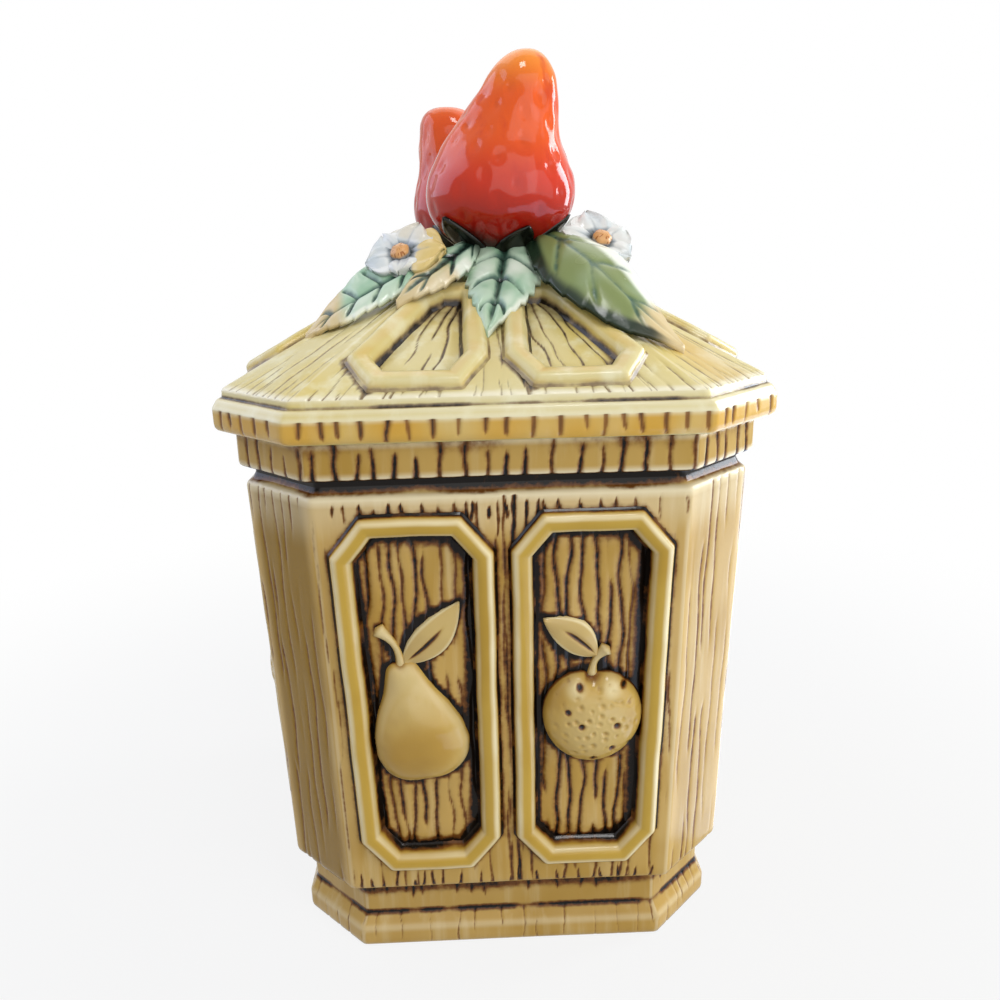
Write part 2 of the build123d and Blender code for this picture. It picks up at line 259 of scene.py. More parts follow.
@dataclass(frozen=True)
class Face:
    """Flat place in space: right and up as seen from outside, and out of it."""

    origin: Array
    right: Array
    up: Array
    out: Array

    def world(self, local: Array) -> Array:
        """Points in space for points given as right, up and out of this place."""
        sides = local[..., 0:1] * self.right + local[..., 1:2] * self.up
        return self.origin + sides + local[..., 2:3] * self.out

    def at(self, across: float, climb: float, turn: float = 0.0, rise: float = 0.0) -> "Face":
        """Another place beside this one.

        Args:
            across: Distance to the right.
            climb: Distance up.
            turn: Turn anticlockwise in degrees.
            rise: Distance out.

        Returns:
            The place.
        """
        cosine, sine = math.cos(math.radians(turn)), math.sin(math.radians(turn))
        origin = self.world(np.array([across, climb, rise]))
        right = cosine * self.right + sine * self.up
        return Face(origin, right, cosine * self.up - sine * self.right, self.out)


# Place that leaves a form as it lies
FLAT = Face(np.zeros(3), *np.eye(3))


def outward_face(angle: float, distance: float, level: float, lean: tuple[float, float]) -> Face:
    """Place at the middle of the foot of a face that looks outward.

    Args:
        angle: Direction of the face in degrees, seen from above.
        distance: Distance of its foot from the middle axis.
        level: Height of its foot.
        lean: Horizontal and vertical shares of its outward direction.

    Returns:
        The place.
    """
    cosine, sine = math.cos(math.radians(angle)), math.sin(math.radians(angle))
    right = np.array([-sine, cosine, 0.0])
    out = np.array([lean[0] * cosine, lean[0] * sine, lean[1]]) / math.hypot(*lean)
    return Face(np.array([distance * cosine, distance * sine, level]), right, np.cross(out, right), out)


@dataclass
class Form:
    """Points, faces and painted marks of a mesh."""

    points: Array
    faces: list[Array]
    marks: dict[str, Array]

    def placed(self, face: Face) -> "Form":
        """The same form set on a place in space."""
        return Form(face.world(self.points), self.faces, self.marks)

    def joined(self, other: "Form") -> "Form":
        """This form and another one as a single mesh.

        Args:
            other: Form to add.

        Returns:
            Both as one form.
        """
        count, more = len(self.points), len(other.points)
        marks = {}
        for name in {**self.marks, **other.marks}:
            first = self.marks.get(name, np.zeros(count))
            marks[name] = np.concatenate([first, other.marks.get(name, np.zeros(more))])
        faces = self.faces + [group + count for group in other.faces]
        return Form(np.concatenate([self.points, other.points]), faces, marks)


def grid_quads(rows: int, columns: int, wrap_columns: bool, wrap_rows: bool = False) -> Array:
    """Quads of a grid of points that is stored row after row.

    Args:
        rows: Number of rows.
        columns: Number of points in a row.
        wrap_columns: Whether the last column joins the first.
        wrap_rows: Whether the last row joins the first.

    Returns:
        Four point numbers for each quad.
    """
    index = np.arange(rows * columns).reshape(rows, columns)
    if wrap_columns:
        index = np.concatenate([index, index[:, :1]], axis=1)
    if wrap_rows:
        index = np.concatenate([index, index[:1]], axis=0)
    corners = [index[:-1, :-1], index[:-1, 1:], index[1:, 1:], index[1:, :-1]]
    return np.stack(corners, axis=-1).reshape(-1, 4)


def grid_normals(points: Array) -> Array:
    """Outward directions of a grid whose columns close on themselves.

    Args:
        points: Rows by columns by three.

    Returns:
        A direction for each point.
    """
    around = np.roll(points, -1, axis=1) - np.roll(points, 1, axis=1)
    facing = np.cross(around, np.gradient(points, axis=0))
    return facing / np.maximum(np.linalg.norm(facing, axis=-1, keepdims=True), TINY)


def fan(centre: int, ring: Array) -> Array:
    """Triangles from a point to a closed ring of points."""
    return np.stack([np.full(len(ring), centre), ring, np.roll(ring, -1)], axis=-1)


def slab(top: Array, bottom: Array, marks: dict[str, Array]) -> Form:
    """Closed form between two grids of points of the same size.

    Args:
        top: Upper points, as rows by columns by three.
        bottom: Lower points in the same order.
        marks: Painted marks of the upper points. The lower points get the same.

    Returns:
        The closed form.
    """
    shape = top.shape[:2]
    count = top[..., 0].size
    quads = grid_quads(*shape, False)
    index = np.arange(count).reshape(shape)
    rim = np.concatenate([index[0, :-1], index[:-1, -1], index[-1, :0:-1], index[:0:-1, 0]])
    following = np.roll(rim, -1)
    sides = np.stack([rim, rim + count, following + count, following], axis=-1)
    points = np.concatenate([top.reshape(-1, 3), bottom.reshape(-1, 3)])
    doubled = {name: np.tile(np.broadcast_to(mark, shape).reshape(-1), 2) for name, mark in marks.items()}
    return Form(points, [quads, quads[:, ::-1] + count, sides], doubled)


def dome(points: Array, tip: Array, marks: dict[str, Array], tip_marks: dict[str, float]) -> Form:
    """Closed form from rings that start at a flat foot and end near a tip.

    Args:
        points: Rings by points by three, from the foot to the tip.
        tip: Point that closes the last ring.
        marks: Painted marks of the rings.
        tip_marks: Painted marks of the tip.

    Returns:
        The closed form.
    """
    shape = points.shape[:2]
    count = points[..., 0].size
    ring = np.arange(shape[1])
    faces = [grid_quads(*shape, True), fan(count, ring + count - shape[1]), fan(count + 1, ring[::-1])]
    painted = {}
    for name, mark in marks.items():
        value = np.broadcast_to(mark, shape)
        ends = [tip_marks.get(name, 0.0), float(value[0].mean())]
        painted[name] = np.concatenate([value.reshape(-1), ends])
    every = np.concatenate([points.reshape(-1, 3), [tip], [points[0].mean(axis=0)]])
    return Form(every, faces, painted)


def tube(path: Array, radii: Array, columns: int) -> Form:
    """Closed round bar along a path, with a rounded end.

    Args:
        path: Points of its middle line.
        radii: Radius at each point.
        columns: Points round it.

    Returns:
        The closed form.
    """
    ahead = unit(np.gradient(path, axis=0))
    side = unit(np.cross(ahead, UPWARD))
    lift = np.cross(side, ahead)
    turns = even_turns(columns)[None, :, None]
    spread = np.cos(turns) * side[:, None] + np.sin(turns) * lift[:, None]
    rings = path[:, None] + spread * radii[:, None, None]
    return dome(rings, path[-1] + ahead[-1] * radii[-1] * 0.5, {}, {})


@dataclass(frozen=True)
class Corner:
    """Corner of a shell's profile, with the length of its rows and the zone after it."""

    half_width: float
    level: float
    radius: float
    step: float
    zone: Zone


class Profile:
    """Rows of a shell, from the middle of its underside round to its far middle."""

    # Largest share of a run that a rounded corner takes, and how far the thin glaze of a ridge reaches
    rounding_share = 0.48
    ridge_reach = 2.0

    def __init__(self, corners: list[Corner], arc_rows: int) -> None:
        """Rounds the corners and divides the runs between them.

        Args:
            corners: Corners in order.
            arc_rows: Rows on each rounded corner.
        """
        places = np.array([[corner.half_width, corner.level] for corner in corners])
        steps = np.diff(places, axis=0)
        lengths = np.hypot(steps[:, 0], steps[:, 1])
        ways = steps / lengths[:, None]
        trims, ridges = np.zeros(len(corners)), []
        for number in range(1, len(corners) - 1):
            way_in, way_out = ways[number - 1], ways[number]
            reach = corners[number].radius * math.tan(bend_between(way_in, way_out) / 2.0)
            room = self.rounding_share * min(lengths[number - 1], lengths[number])
            trims[number] = min(reach, room)
            if way_in[0] * way_out[1] - way_in[1] * way_out[0] > 0.0:
                ridges.append(places[number])
        rows, zones = [], []
        for number, (corner, place, trim) in enumerate(zip(corners, places, trims)):
            if trim > 0.0:
                start, end = place - ways[number - 1] * trim, place + ways[number] * trim
                rows += list(rounded(start, place, end, arc_rows))
                early = np.linspace(0.0, 1.0, arc_rows) < 0.5
                zones += [corners[number - 1].zone if first else corner.zone for first in early]
            else:
                rows.append(place)
                zones.append(corner.zone)
            if number < len(ways):
                straight = lengths[number] - trim - trims[number + 1]
                for share in np.linspace(0.0, 1.0, max(1, round(straight / corner.step)) + 1)[1:-1]:
                    rows.append(place + ways[number] * (trim + share * straight))
                    zones.append(corner.zone)
        self.half_width, self.level = np.array(rows).T
        self.zone = np.array([zone.value for zone in zones])
        gaps = np.array(rows)[:, None] - np.array(ridges)[None]
        self.ridge = bell(np.hypot(gaps[..., 0], gaps[..., 1]).min(axis=1) / self.ridge_reach)

    def inside_of(self, *zones: Zone) -> Array:
        """True for each row in one of the zones."""
        return np.isin(self.zone, [zone.value for zone in zones])


@dataclass(frozen=True)
class OctagonPlan:
    """Octagon that every tier repeats, and the columns of points that run up it."""

    corner_share: float
    main_columns: int
    corner_columns: int
    edge_radius: float
    arc_columns: int = 2
    edge_share: float = 0.3

    def side_share(self, name: str) -> float:
        """Half the length of a side as a share of the octagon's half width."""
        return 1.0 - self.corner_share if name in WALLS else self.corner_share / math.sqrt(2.0)

    def table(self) -> tuple[Array, Array, Array]:
        """Lays out the columns.

        Returns:
            Side number, share along the side and turn round the edge of each column.
        """
        sides, shares, turns = [], [], []
        arc = np.linspace(0.0, math.pi / 4.0, self.arc_columns + 2)[1:-1]
        for side in range(len(SIDES)):
            count = self.corner_columns if side % 2 else self.main_columns
            sides += [side] * (count + self.arc_columns)
            shares += list(np.linspace(-0.5, 0.5, count)) + [0.5] * self.arc_columns
            turns += [0.0] * count + list(arc)
        return np.array(sides), np.array(shares), np.array(turns)

    def rings(self, half_width: Array) -> tuple[Array, Array]:
        """Plan points of every column on rows of given half widths.

        Args:
            half_width: Half width of each row.

        Returns:
            Plan points as rows by columns by two, and distances along the sides.
        """
        sides, shares, turns = self.table()
        angles = np.radians(90.0 + 45.0 * sides)
        normal = np.stack([np.cos(angles), np.sin(angles)], axis=-1)
        tangent = np.stack([-np.sin(angles), np.cos(angles)], axis=-1)
        cut = sides % 2 == 1
        wide = half_width[:, None]
        half = np.where(cut, wide * self.corner_share / math.sqrt(2.0), wide * (1.0 - self.corner_share))
        distance = np.where(cut, wide * (2.0 - self.corner_share) / math.sqrt(2.0), wide)
        radius = np.minimum(self.edge_radius, self.edge_share * wide)
        along = shares * 2.0 * (half - math.tan(math.pi / 8.0) * radius)
        facing = np.cos(turns)[:, None] * normal + np.sin(turns)[:, None] * tangent
        plan = normal * (distance - radius)[..., None] + tangent * along[..., None]
        return plan + facing * radius[..., None], along + radius * turns


@dataclass(frozen=True)
class GrainLines:
    """Long cut lines of wood grain: how they are spaced, cut and stained."""

    spacing: float
    jitter: float
    width: float
    depth: float
    stain: float
    sway: float
    sway_length: float
    presence: float
    wash: float

    def cut(
        self,
        rng: Generator,
        across: Array,
        climb: Array,
        reach: tuple[float, float],
        shrink: Array | float = 1.0,
    ) -> tuple[Array, Array]:
        """Cuts the lines into a patch of surface.

        Args:
            rng: Source of places and sway.
            across: Distance across the lines at each point, before they draw together.
            climb: Distance along the lines.
            reach: Least and greatest distance across.
            shrink: Share of the spacing that is left where the lines draw together.

        Returns:
            Depth in millimetres and stain from 0 to 1.
        """
        depth, stain = np.zeros(across.shape), np.zeros(across.shape)
        place = reach[0] + self.spacing * rng.uniform(0.2, 0.8)
        while place < reach[1]:
            sway = Wobble(rng, self.sway_length)
            pulse = Wobble(rng, self.sway_length * 1.4)
            strength = rng.uniform(0.6, 1.0)
            gap = (across - place - self.sway * sway.at(climb)) * shrink
            shown = soft_step(-0.35, 0.3, pulse.at(climb) + self.presence) * strength
            width = self.width * (0.7 + 0.4 * shown)
            core = np.minimum(1.3 * bell(gap / width), 1.0)
            beside = bell(gap / (3.2 * width))
            depth = np.maximum(depth, shown * self.depth * (0.65 * core + 0.35 * beside))
            stain = np.maximum(stain, shown * np.maximum(core * self.stain, beside * self.wash))
            place += self.spacing * (1.0 + self.jitter * rng.uniform(-1.0, 1.0))
        return depth, stain


@dataclass(frozen=True)
class TickBand:
    """Short dark cuts along a moulding, whose lengths are shares of its height."""

    low: float
    high: float
    spacing: float
    jitter: float
    width: float
    depth: float
    stain: float
    anchor: Anchor
    least: float
    most: float
    wash: float = 0.32

    def cut(self, rng: Generator, across: Array, level: Array, reach: float) -> tuple[Array, Array]:
        """Cuts the ticks into a band of surface.

        Args:
            rng: Source of places and lengths.
            across: Distance along the moulding at each point.
            level: Height of each point.
            reach: Half the length of the moulding.

        Returns:
            Depth in millimetres and stain from 0 to 1.
        """
        depth, stain = np.zeros(across.shape), np.zeros(across.shape)
        place = -reach + self.spacing * rng.uniform(0.3, 1.0)
        while place < reach:
            length = (self.high - self.low) * rng.uniform(self.least, self.most)
            lean = rng.uniform(-0.08, 0.08)
            strength = rng.uniform(0.6, 1.0)
            top = self.anchor is Anchor.TOP or (self.anchor is Anchor.BOTH and rng.uniform() < 0.55)
            end = self.high - level if top else level - self.low
            bow = 0.25 * np.sin(level * rng.uniform(0.3, 0.7) + place)
            gap = across - place - lean * (level - self.low) - bow
            fade = 1.0 - soft_step(0.72 * length, length, end)
            taper = self.width * (1.15 - 0.5 * np.clip(end / max(length, 0.1), 0.0, 1.0))
            shown = fade * strength * ((level >= self.low - 0.4) & (level <= self.high + 0.4))
            core = np.minimum(1.3 * bell(gap / taper), 1.0)
            beside = bell(gap / (2.8 * taper))
            depth = np.maximum(depth, shown * core * self.depth)
            stain = np.maximum(stain, shown * np.maximum(core * self.stain, beside * self.wash))
            place += self.spacing * (1.0 + self.jitter * rng.uniform(-1.0, 1.0))
        return depth, stain


class Shell:
    """Dense surface of a hollow casting: rows of a profile round an octagon."""

    def __init__(self, profile: Profile, plan: OctagonPlan) -> None:
        """Lays out the surface.

        Args:
            profile: Its rows.
            plan: Its columns.
        """
        self.profile, self.plan = profile, plan
        points, self.across = plan.rings(profile.half_width)
        level = np.broadcast_to(profile.level[:, None, None], (*self.across.shape, 1))
        self.points = np.concatenate([points, level], axis=-1)
        self.level = level[..., 0]
        self.side, _, turns = plan.table()
        facet = profile.half_width[:, None] * plan.corner_share / math.sqrt(2.0)
        self.facet_share = np.where(self.side % 2 == 1, np.abs(self.across) / facet, 1.0)
        edge = np.clip(turns / (math.pi / 8.0), 0.0, None)
        self.corner = np.where(edge > 1.0, 2.0 - edge, edge)
        gaps = np.linalg.norm(np.diff(self.points[int(np.argmax(profile.half_width))], axis=0), axis=1)
        self.around = np.concatenate([[0.0], np.cumsum(gaps)])
        self.rise = np.zeros(self.across.shape)
        self.stain = np.zeros(self.across.shape)

    def rows(self, *zones: Zone) -> Array:
        """1 for the rows in one of the zones and 0 for the rest, as a column."""
        return 1.0 * self.profile.inside_of(*zones)[:, None]

    def patch(self, name: str, *zones: Zone) -> tuple[Array, Array]:
        """Index of the points in some zones on a side, with the edge after it."""
        return np.ix_(self.profile.inside_of(*zones), self.side == SIDES.index(name))

    def carve(self, patch: tuple[Array, Array], rise: Array, stain: Array) -> None:
        """Adds relief and stain to a patch of the surface."""
        self.rise[patch] += rise
        self.darken(stain, patch)

    def darken(self, stain: Array, patch: tuple[Array, Array] | slice = slice(None)) -> None:
        """Lays more stain over the surface or a patch of it."""
        self.stain[patch] = over(self.stain[patch], stain)

    def cut_ticks(self, rng: Generator, bands: dict[tuple[Zone, ...], TickBand], stain: Array) -> None:
        """Cuts ticks along the mouldings on every side.

        Args:
            rng: Source of the ticks.
            bands: Ticks of the zones that make up each moulding.
            stain: Stain of the whole surface, which is darkened in the ticks.
        """
        for name in SIDES:
            for zones, band in bands.items():
                patch = self.patch(name, *zones)
                widest = float(self.profile.half_width[self.profile.inside_of(*zones)].max())
                reach = widest * self.plan.side_share(name)
                depth, dark = band.cut(rng, self.across[patch], self.level[patch], reach)
                self.rise[patch] -= depth
                stain[patch] = over(stain[patch], dark)

    def form(self, marks: dict[str, Array]) -> Form:
        """Closes the surface, with its relief and its stain.

        Args:
            marks: More painted marks.

        Returns:
            The closed form.
        """
        shape = self.across.shape
        count = self.across.size
        shaped = self.points + grid_normals(self.points) * self.rise[..., None]
        ring = np.arange(shape[1])
        faces = [grid_quads(*shape, True), fan(count, ring[::-1]), fan(count + 1, ring + count - shape[1])]
        painted = {}
        for name, mark in {"stain": np.clip(self.stain, 0.0, 1.0), **marks}.items():
            value = np.broadcast_to(mark, shape)
            painted[name] = np.concatenate([value.reshape(-1), [value[0].mean(), value[-1].mean()]])
        ends = [shaped[0].mean(axis=0), shaped[-1].mean(axis=0)]
        return Form(np.concatenate([shaped.reshape(-1, 3), ends]), faces, painted)


def inner_distance(outline: Array, across: Array, climb: Array) -> Array:
    """Distance of each point inside a convex outline.

    Args:
        outline: Corners, anticlockwise.
        across: Distance across at each point.
        climb: Distance up at each point.

    Returns:
        The distances, negative outside it.
    """
    least = np.full(across.shape, FAR)
    for start, end in zip(outline, np.roll(outline, -1, axis=0)):
        way = unit(end - start)
        least = np.minimum(least, way[0] * (climb - start[1]) - way[1] * (across - start[0]))
    return least


def line_distance(line: Array, across: Array, climb: Array) -> Array:
    """Distance of each point from a line.

    Args:
        line: Points of the line.
        across: Distance across at each point.
        climb: Distance up at each point.

    Returns:
        The distances from its nearest part.
    """
    least = np.full(across.shape, FAR)
    for start, end in zip(line[:-1], line[1:]):
        way = end - start
        share = ((across - start[0]) * way[0] + (climb - start[1]) * way[1]) / max(way @ way, TINY)
        share = np.clip(share, 0.0, 1.0)
        gap = np.hypot(across - start[0] - share * way[0], climb - start[1] - share * way[1])
        least = np.minimum(least, gap)
    return least


def inset_outline(outline: Array, inset: float, radius: float, counts: list[int], arc: int) -> Array:
    """Outline moved inward, with rounded corners and divided edges.

    Args:
        outline: Corners, anticlockwise.
        inset: Distance that each edge moves inward.
        radius: Radius of the corners.
        counts: Pieces that each edge is divided into.
        arc: Points on each corner.

    Returns:
        Points in order, the same number for every inset.
    """
    ways = unit(np.roll(outline, -1, axis=0) - outline)
    starts = outline + np.stack([-ways[:, 1], ways[:, 0]], axis=-1) * inset
    corners, trims = [], []
    for number, way in enumerate(ways):
        matrix = np.stack([ways[number - 1], -way], axis=-1)
        share = np.linalg.solve(matrix, starts[number] - starts[number - 1])
        corners.append(starts[number - 1] + ways[number - 1] * share[0])
        trims.append(max(radius, LEAST_RADIUS) * math.tan(bend_between(ways[number - 1], way) / 2.0))
    points = []
    for number, (corner, trim, way) in enumerate(zip(corners, trims, ways)):
        end = corner + way * trim
        points += list(rounded(corner - ways[number - 1] * trim, corner, end, arc))
        following = (number + 1) % len(corners)
        stop = corners[following] - way * trims[following]
        shares = np.linspace(0.0, 1.0, counts[number] + 1)[1:-1]
        points += [end + (stop - end) * share for share in shares]
    return np.array(points)


def mirrored(corners: list[tuple[float, float]], side: int) -> Array:
    """Corners of an outline on the right, or of its mirror image on the left, anticlockwise."""
    outline = np.array(corners) * np.array([side, 1.0])
    return outline if side > 0 else outline[::-1]


def add_node(
    tree: bpy.types.NodeTree,
    kind: str,
    inputs: dict[int | str, object],
    output: int | str = 0,
    **settings: object,
) -> bpy.types.NodeSocket | None:
    """Adds a node with its settings and links.

    Args:
        tree: Node tree to add it to.
        kind: Type of node.
        inputs: Values of its input sockets, or output sockets to link into them.
        output: Output socket that is wanted.
        settings: Other properties of the node.

    Returns:
        The wanted output socket, or nothing for a node that has none.
    """
    node = tree.nodes.new(kind)
    for name, value in settings.items():
        setattr(node, name, value)
    for socket, value in inputs.items():
        if isinstance(value, bpy.types.NodeSocket):
            tree.links.new(value, node.inputs[socket])
        else:
            node.inputs[socket].default_value = value
    return node.outputs[output] if len(node.outputs) else None


@dataclass(frozen=True)
class Layer:
    """Colour laid over those below it, where its mask passes from low to high.

    A mask is a noise of the glaze (cloud, fleck or streak) or a mark painted on the mesh.
    """

    mask: str
    low: float
    high: float
    colour: str
    most: float = 1.0


@dataclass(frozen=True)
class Glaze:
    """Coloured glaze or underglaze on earthenware, with sizes in millimetres."""

    name: str
    base: str
    layers: tuple[Layer, ...]
    cloud: float
    fleck: float
    rough: tuple[float, float]
    shine: float
    relief: float
    streak: tuple[float, float] | None = None
    ragged: float = 0.2

    @cached_property
    def material(self) -> bpy.types.Material:
        """Makes the node material when it is first asked for.

        Returns:
            The material.
        """
        material = bpy.data.materials.new(self.name)
        material.use_nodes = True
        tree = material.node_tree
        tree.nodes.clear()
        place = add_node(tree, "ShaderNodeTexCoord", {}, "Object")
        masks = {}
        for name, size in (("cloud", self.cloud), ("fleck", self.fleck)):
            noise = {"Vector": place, "Scale": 1.0 / (size * MM)}
            masks[name] = add_node(tree, "ShaderNodeTexNoise", noise)
        if self.streak:
            wide, long = (1.0 / (size * MM) for size in self.streak)
            drawn = add_node(tree, "ShaderNodeMapping", {"Vector": place, "Scale": (wide, wide, long)})
            noise = {"Vector": drawn, "Scale": 1.0, "Detail": 4.0}
            masks["streak"] = add_node(tree, "ShaderNodeTexNoise", noise)
        span = {"Value": masks["fleck"], "From Min": 0.25, "From Max": 0.75}
        span |= {"To Min": 1.0 - self.ragged, "To Max": 1.0 + self.ragged}
        worn = add_node(tree, "ShaderNodeMapRange", span)
        colour: object = srgb(self.base)
        for layer in self.layers:
            if layer.mask not in masks:
                mark = add_node(tree, "ShaderNodeAttribute", {}, "Fac", attribute_name=layer.mask)
                factors = {0: mark, 1: worn if layer.mask == "stain" else 1.0}
                masks[layer.mask] = add_node(tree, "ShaderNodeMath", factors, operation="MULTIPLY")
            span = {"Value": masks[layer.mask], "From Min": layer.low, "From Max": layer.high}
            span["To Max"] = layer.most
            share = add_node(tree, "ShaderNodeMapRange", span, interpolation_type="SMOOTHSTEP")
            mixed = {MIX_FACTOR: share, MIX_A: colour, MIX_B: srgb(layer.colour)}
            colour = add_node(tree, "ShaderNodeMix", mixed, MIX_RESULT, data_type="RGBA")
        span = {"Value": masks["cloud"], "From Min": 0.3, "From Max": 0.7}
        span |= {"To Min": self.rough[0], "To Max": self.rough[1]}
        bump = {"Height": masks["fleck"], "Strength": 1.0, "Distance": self.relief * MM}
        shader = {
            "Base Color": colour,
            "Roughness": add_node(tree, "ShaderNodeMapRange", span),
            "Normal": add_node(tree, "ShaderNodeBump", bump),
            "IOR": GLAZE_IOR,
            "Specular IOR Level": self.shine,
        }
        surface = add_node(tree, "ShaderNodeBsdfPrincipled", shader)
        add_node(tree, "ShaderNodeOutputMaterial", {"Surface": surface})
        return material


# Honey glaze over a dark stain that was wiped off the high places and left in the cuts. The eye sees a
# glossy tan body, cream where the glaze runs thin over edges, brown round each cut, near black in it.
TUB_GLAZE = Glaze(
    "earthenware_slip_cast_honey_glaze",
    "#C4A058",
    (
        Layer("cloud", 0.42, 0.68, "#B08938", 0.75),
        Layer("streak", 0.5, 0.8, "#D8C18E", 0.6),
        Layer("amber", 0.0, 1.0, "#8E6A0A", 0.9),
        # Ridge: cream where the glaze runs thin, and painted light on the door walls' margins
        Layer("ridge", 0.2, 1.0, "#EADCB6", 0.85),
        # Stain: dark stain left in the cuts, and painted shade under the walls, under the brim and along the
        # panels' right edges
        Layer("stain", 0.12, 0.52, "#74461A"),
        Layer("stain", 0.42, 0.84, "#100803"),
        Layer("bare", 0.3, 0.7, "#D8C2A0"),
    ),
    cloud=30.0, fleck=1.7, rough=(0.13, 0.22), shine=0.18, relief=0.03, streak=(4.0, 50.0), ragged=0.25,
)

# The same glaze on the frames, where it flowed together on the flat. The eye sees gold bars with broad
# cream edges.
FRAME_GLAZE = Glaze(
    "earthenware_press_moulded_honey_glaze",
    "#BE9A3C",
    (
        Layer("cloud", 0.42, 0.68, "#B08A2E", 0.7),
        Layer("ridge", 0.0, 1.0, "#E6D6A8", 0.95),
        Layer("stain", 0.16, 0.56, "#74461A"),
        Layer("stain", 0.46, 0.88, "#100803"),
    ),
    cloud=26.0, fleck=2.2, rough=(0.12, 0.2), shine=0.24, relief=0.03,
)

# The same glaze on the sprigs, wiped a little cleaner. The eye sees straw-coloured fruit, cream on top as a
# painted highlight.
FRUIT_GLAZE = Glaze(
    "earthenware_sprig_moulded_honey_glaze",
    "#BE9C4E",
    (
        Layer("cloud", 0.42, 0.68, "#AC883E", 0.7),
        Layer("amber", 0.0, 1.0, "#AC8430", 0.75),
        # Ridge: cream where the glaze is thin, and painted highlights on the tops of the fruit
        Layer("ridge", 0.1, 1.0, "#E4D4A2", 0.9),
        # Stain: pooled in the pits and round the fruit, and painted shade on the orange's low flanks
        Layer("stain", 0.14, 0.54, "#74461A"),
        Layer("stain", 0.44, 0.86, "#100803"),
    ),
    cloud=13.0, fleck=2.2, rough=(0.13, 0.22), shine=0.32, relief=0.05,
)

# The glaze lies thinner on the lid. The eye sees pale straw and cream with grey-brown cuts, and amber
# where it gathered on the face of the brim.
LID_GLAZE = Glaze(
    "earthenware_slip_cast_straw_glaze",
    "#D6C88E",
    (
        Layer("cloud", 0.42, 0.68, "#D0BA66", 0.8),
        Layer("streak", 0.46, 0.72, "#E4DDB4", 0.8),
        Layer("amber", 0.0, 1.0, "#CC9A30", 0.95),
        Layer("ridge", 0.2, 1.0, "#ECE4C6", 0.9),
        # Stain: grey-brown stain in the cuts, and painted shade in the panels and beside the frames
        Layer("stain", 0.14, 0.56, "#85704E"),
        Layer("stain", 0.46, 0.9, "#241C16"),
        Layer("brown", 0.08, 0.55, "#7E4C18", 0.9),
        Layer("brown", 0.5, 0.95, "#1E1008"),
        Layer("bare", 0.3, 0.7, "#DAC7A6"),
    ),
    cloud=34.0, fleck=2.0, rough=(0.16, 0.26), shine=0.3, relief=0.03, streak=(7.0, 14.0),
)

# Red and orange underglaze brushed on under clear glaze. The eye sees deep red at the foot, orange-red
# flanks, an orange tip and a mirror-like shine.
BERRY_GLAZE = Glaze(
    "earthenware_red_underglaze",
    "#981408",
    (
        Layer("ripe", 0.14, 0.4, "#C62C08"),
        Layer("ripe", 0.36, 0.64, "#DE5204"),
        Layer("ripe", 0.76, 1.02, "#F59228"),
        Layer("streak", 0.52, 0.72, "#B8220A", 0.5),
        Layer("stain", 0.1, 1.0, "#6E0E08", 0.7),
        # Painted shade at the berry's foot, between the sepals
        Layer("shade", 0.0, 1.0, "#1E120A", 0.95),
    ),
    cloud=15.0, fleck=5.0, rough=(0.07, 0.12), shine=0.34, relief=0.1, streak=(6.0, 20.0), ragged=0.14,
)

# Dark green underglaze, pooled. The eye sees nearly black sepals with olive edges.
SEPAL_GLAZE = Glaze(
    "earthenware_dark_green_underglaze",
    "#0F110A",
    (
        Layer("cloud", 0.4, 0.65, "#201F10"),
        Layer("ridge", 0.2, 1.0, "#5A4E24", 0.6),
        Layer("stain", 0.1, 0.9, "#0C0D07", 0.9),
    ),
    cloud=6.0, fleck=2.0, rough=(0.18, 0.28), shine=0.3, relief=0.06,
)

# Thin green underglaze brushed over white slip and wiped. The eye sees mint to olive leaves, blue-black
# veins where the colour pooled, cream edges where it was wiped off, a painted highlight along one edge,
# and painted shade along the other edge and at the root.
LEAF_GLAZE = Glaze(
    "earthenware_wiped_green_underglaze",
    "#B8CEB4",
    (
        Layer("cloud", 0.42, 0.64, "#8AB290", 0.8),
        Layer("tone", 0.1, 0.9, "#7B8850"),
        # Ridge: cream where the glaze was wiped off, and a painted highlight along one edge of each leaf
        Layer("ridge", 0.15, 0.9, "#EAEEDE", 0.9),
        Layer("tip", 0.2, 0.8, "#D2BC8C"),
        Layer("stain", 0.12, 0.6, "#2E5446", 0.9),
        Layer("stain", 0.45, 0.9, "#0A1412", 0.95),
        # Painted shade: the leaves' right edges and their roots
        Layer("shade", 0.05, 0.95, "#10241A", 0.95),
    ),
    cloud=9.0, fleck=2.4, rough=(0.18, 0.28), shine=0.35, relief=0.06, ragged=0.25,
)

# White slip petals under clear glaze. The eye sees clean white lobes, grey in the folds as painted shade,
# a cream petal and a freckled orange button.
BLOSSOM_GLAZE = Glaze(
    "earthenware_white_slip",
    "#DBDDD8",
    (
        Layer("cloud", 0.45, 0.72, "#B9C4C8", 0.75),
        Layer("tip", 0.2, 0.8, "#D8BE78"),
        Layer("button", 0.3, 0.7, "#D6A066"),
        Layer("freckle", 0.3, 0.7, "#A0622A"),
        # Stain: grey pooled in the veins, and painted shade in the folds by the button
        Layer("stain", 0.1, 0.6, "#858F94", 0.9),
        Layer("stain", 0.5, 0.95, "#2C3230", 0.9),
    ),
    cloud=7.0, fleck=1.4, rough=(0.18, 0.28), shine=0.35, relief=0.04,
)


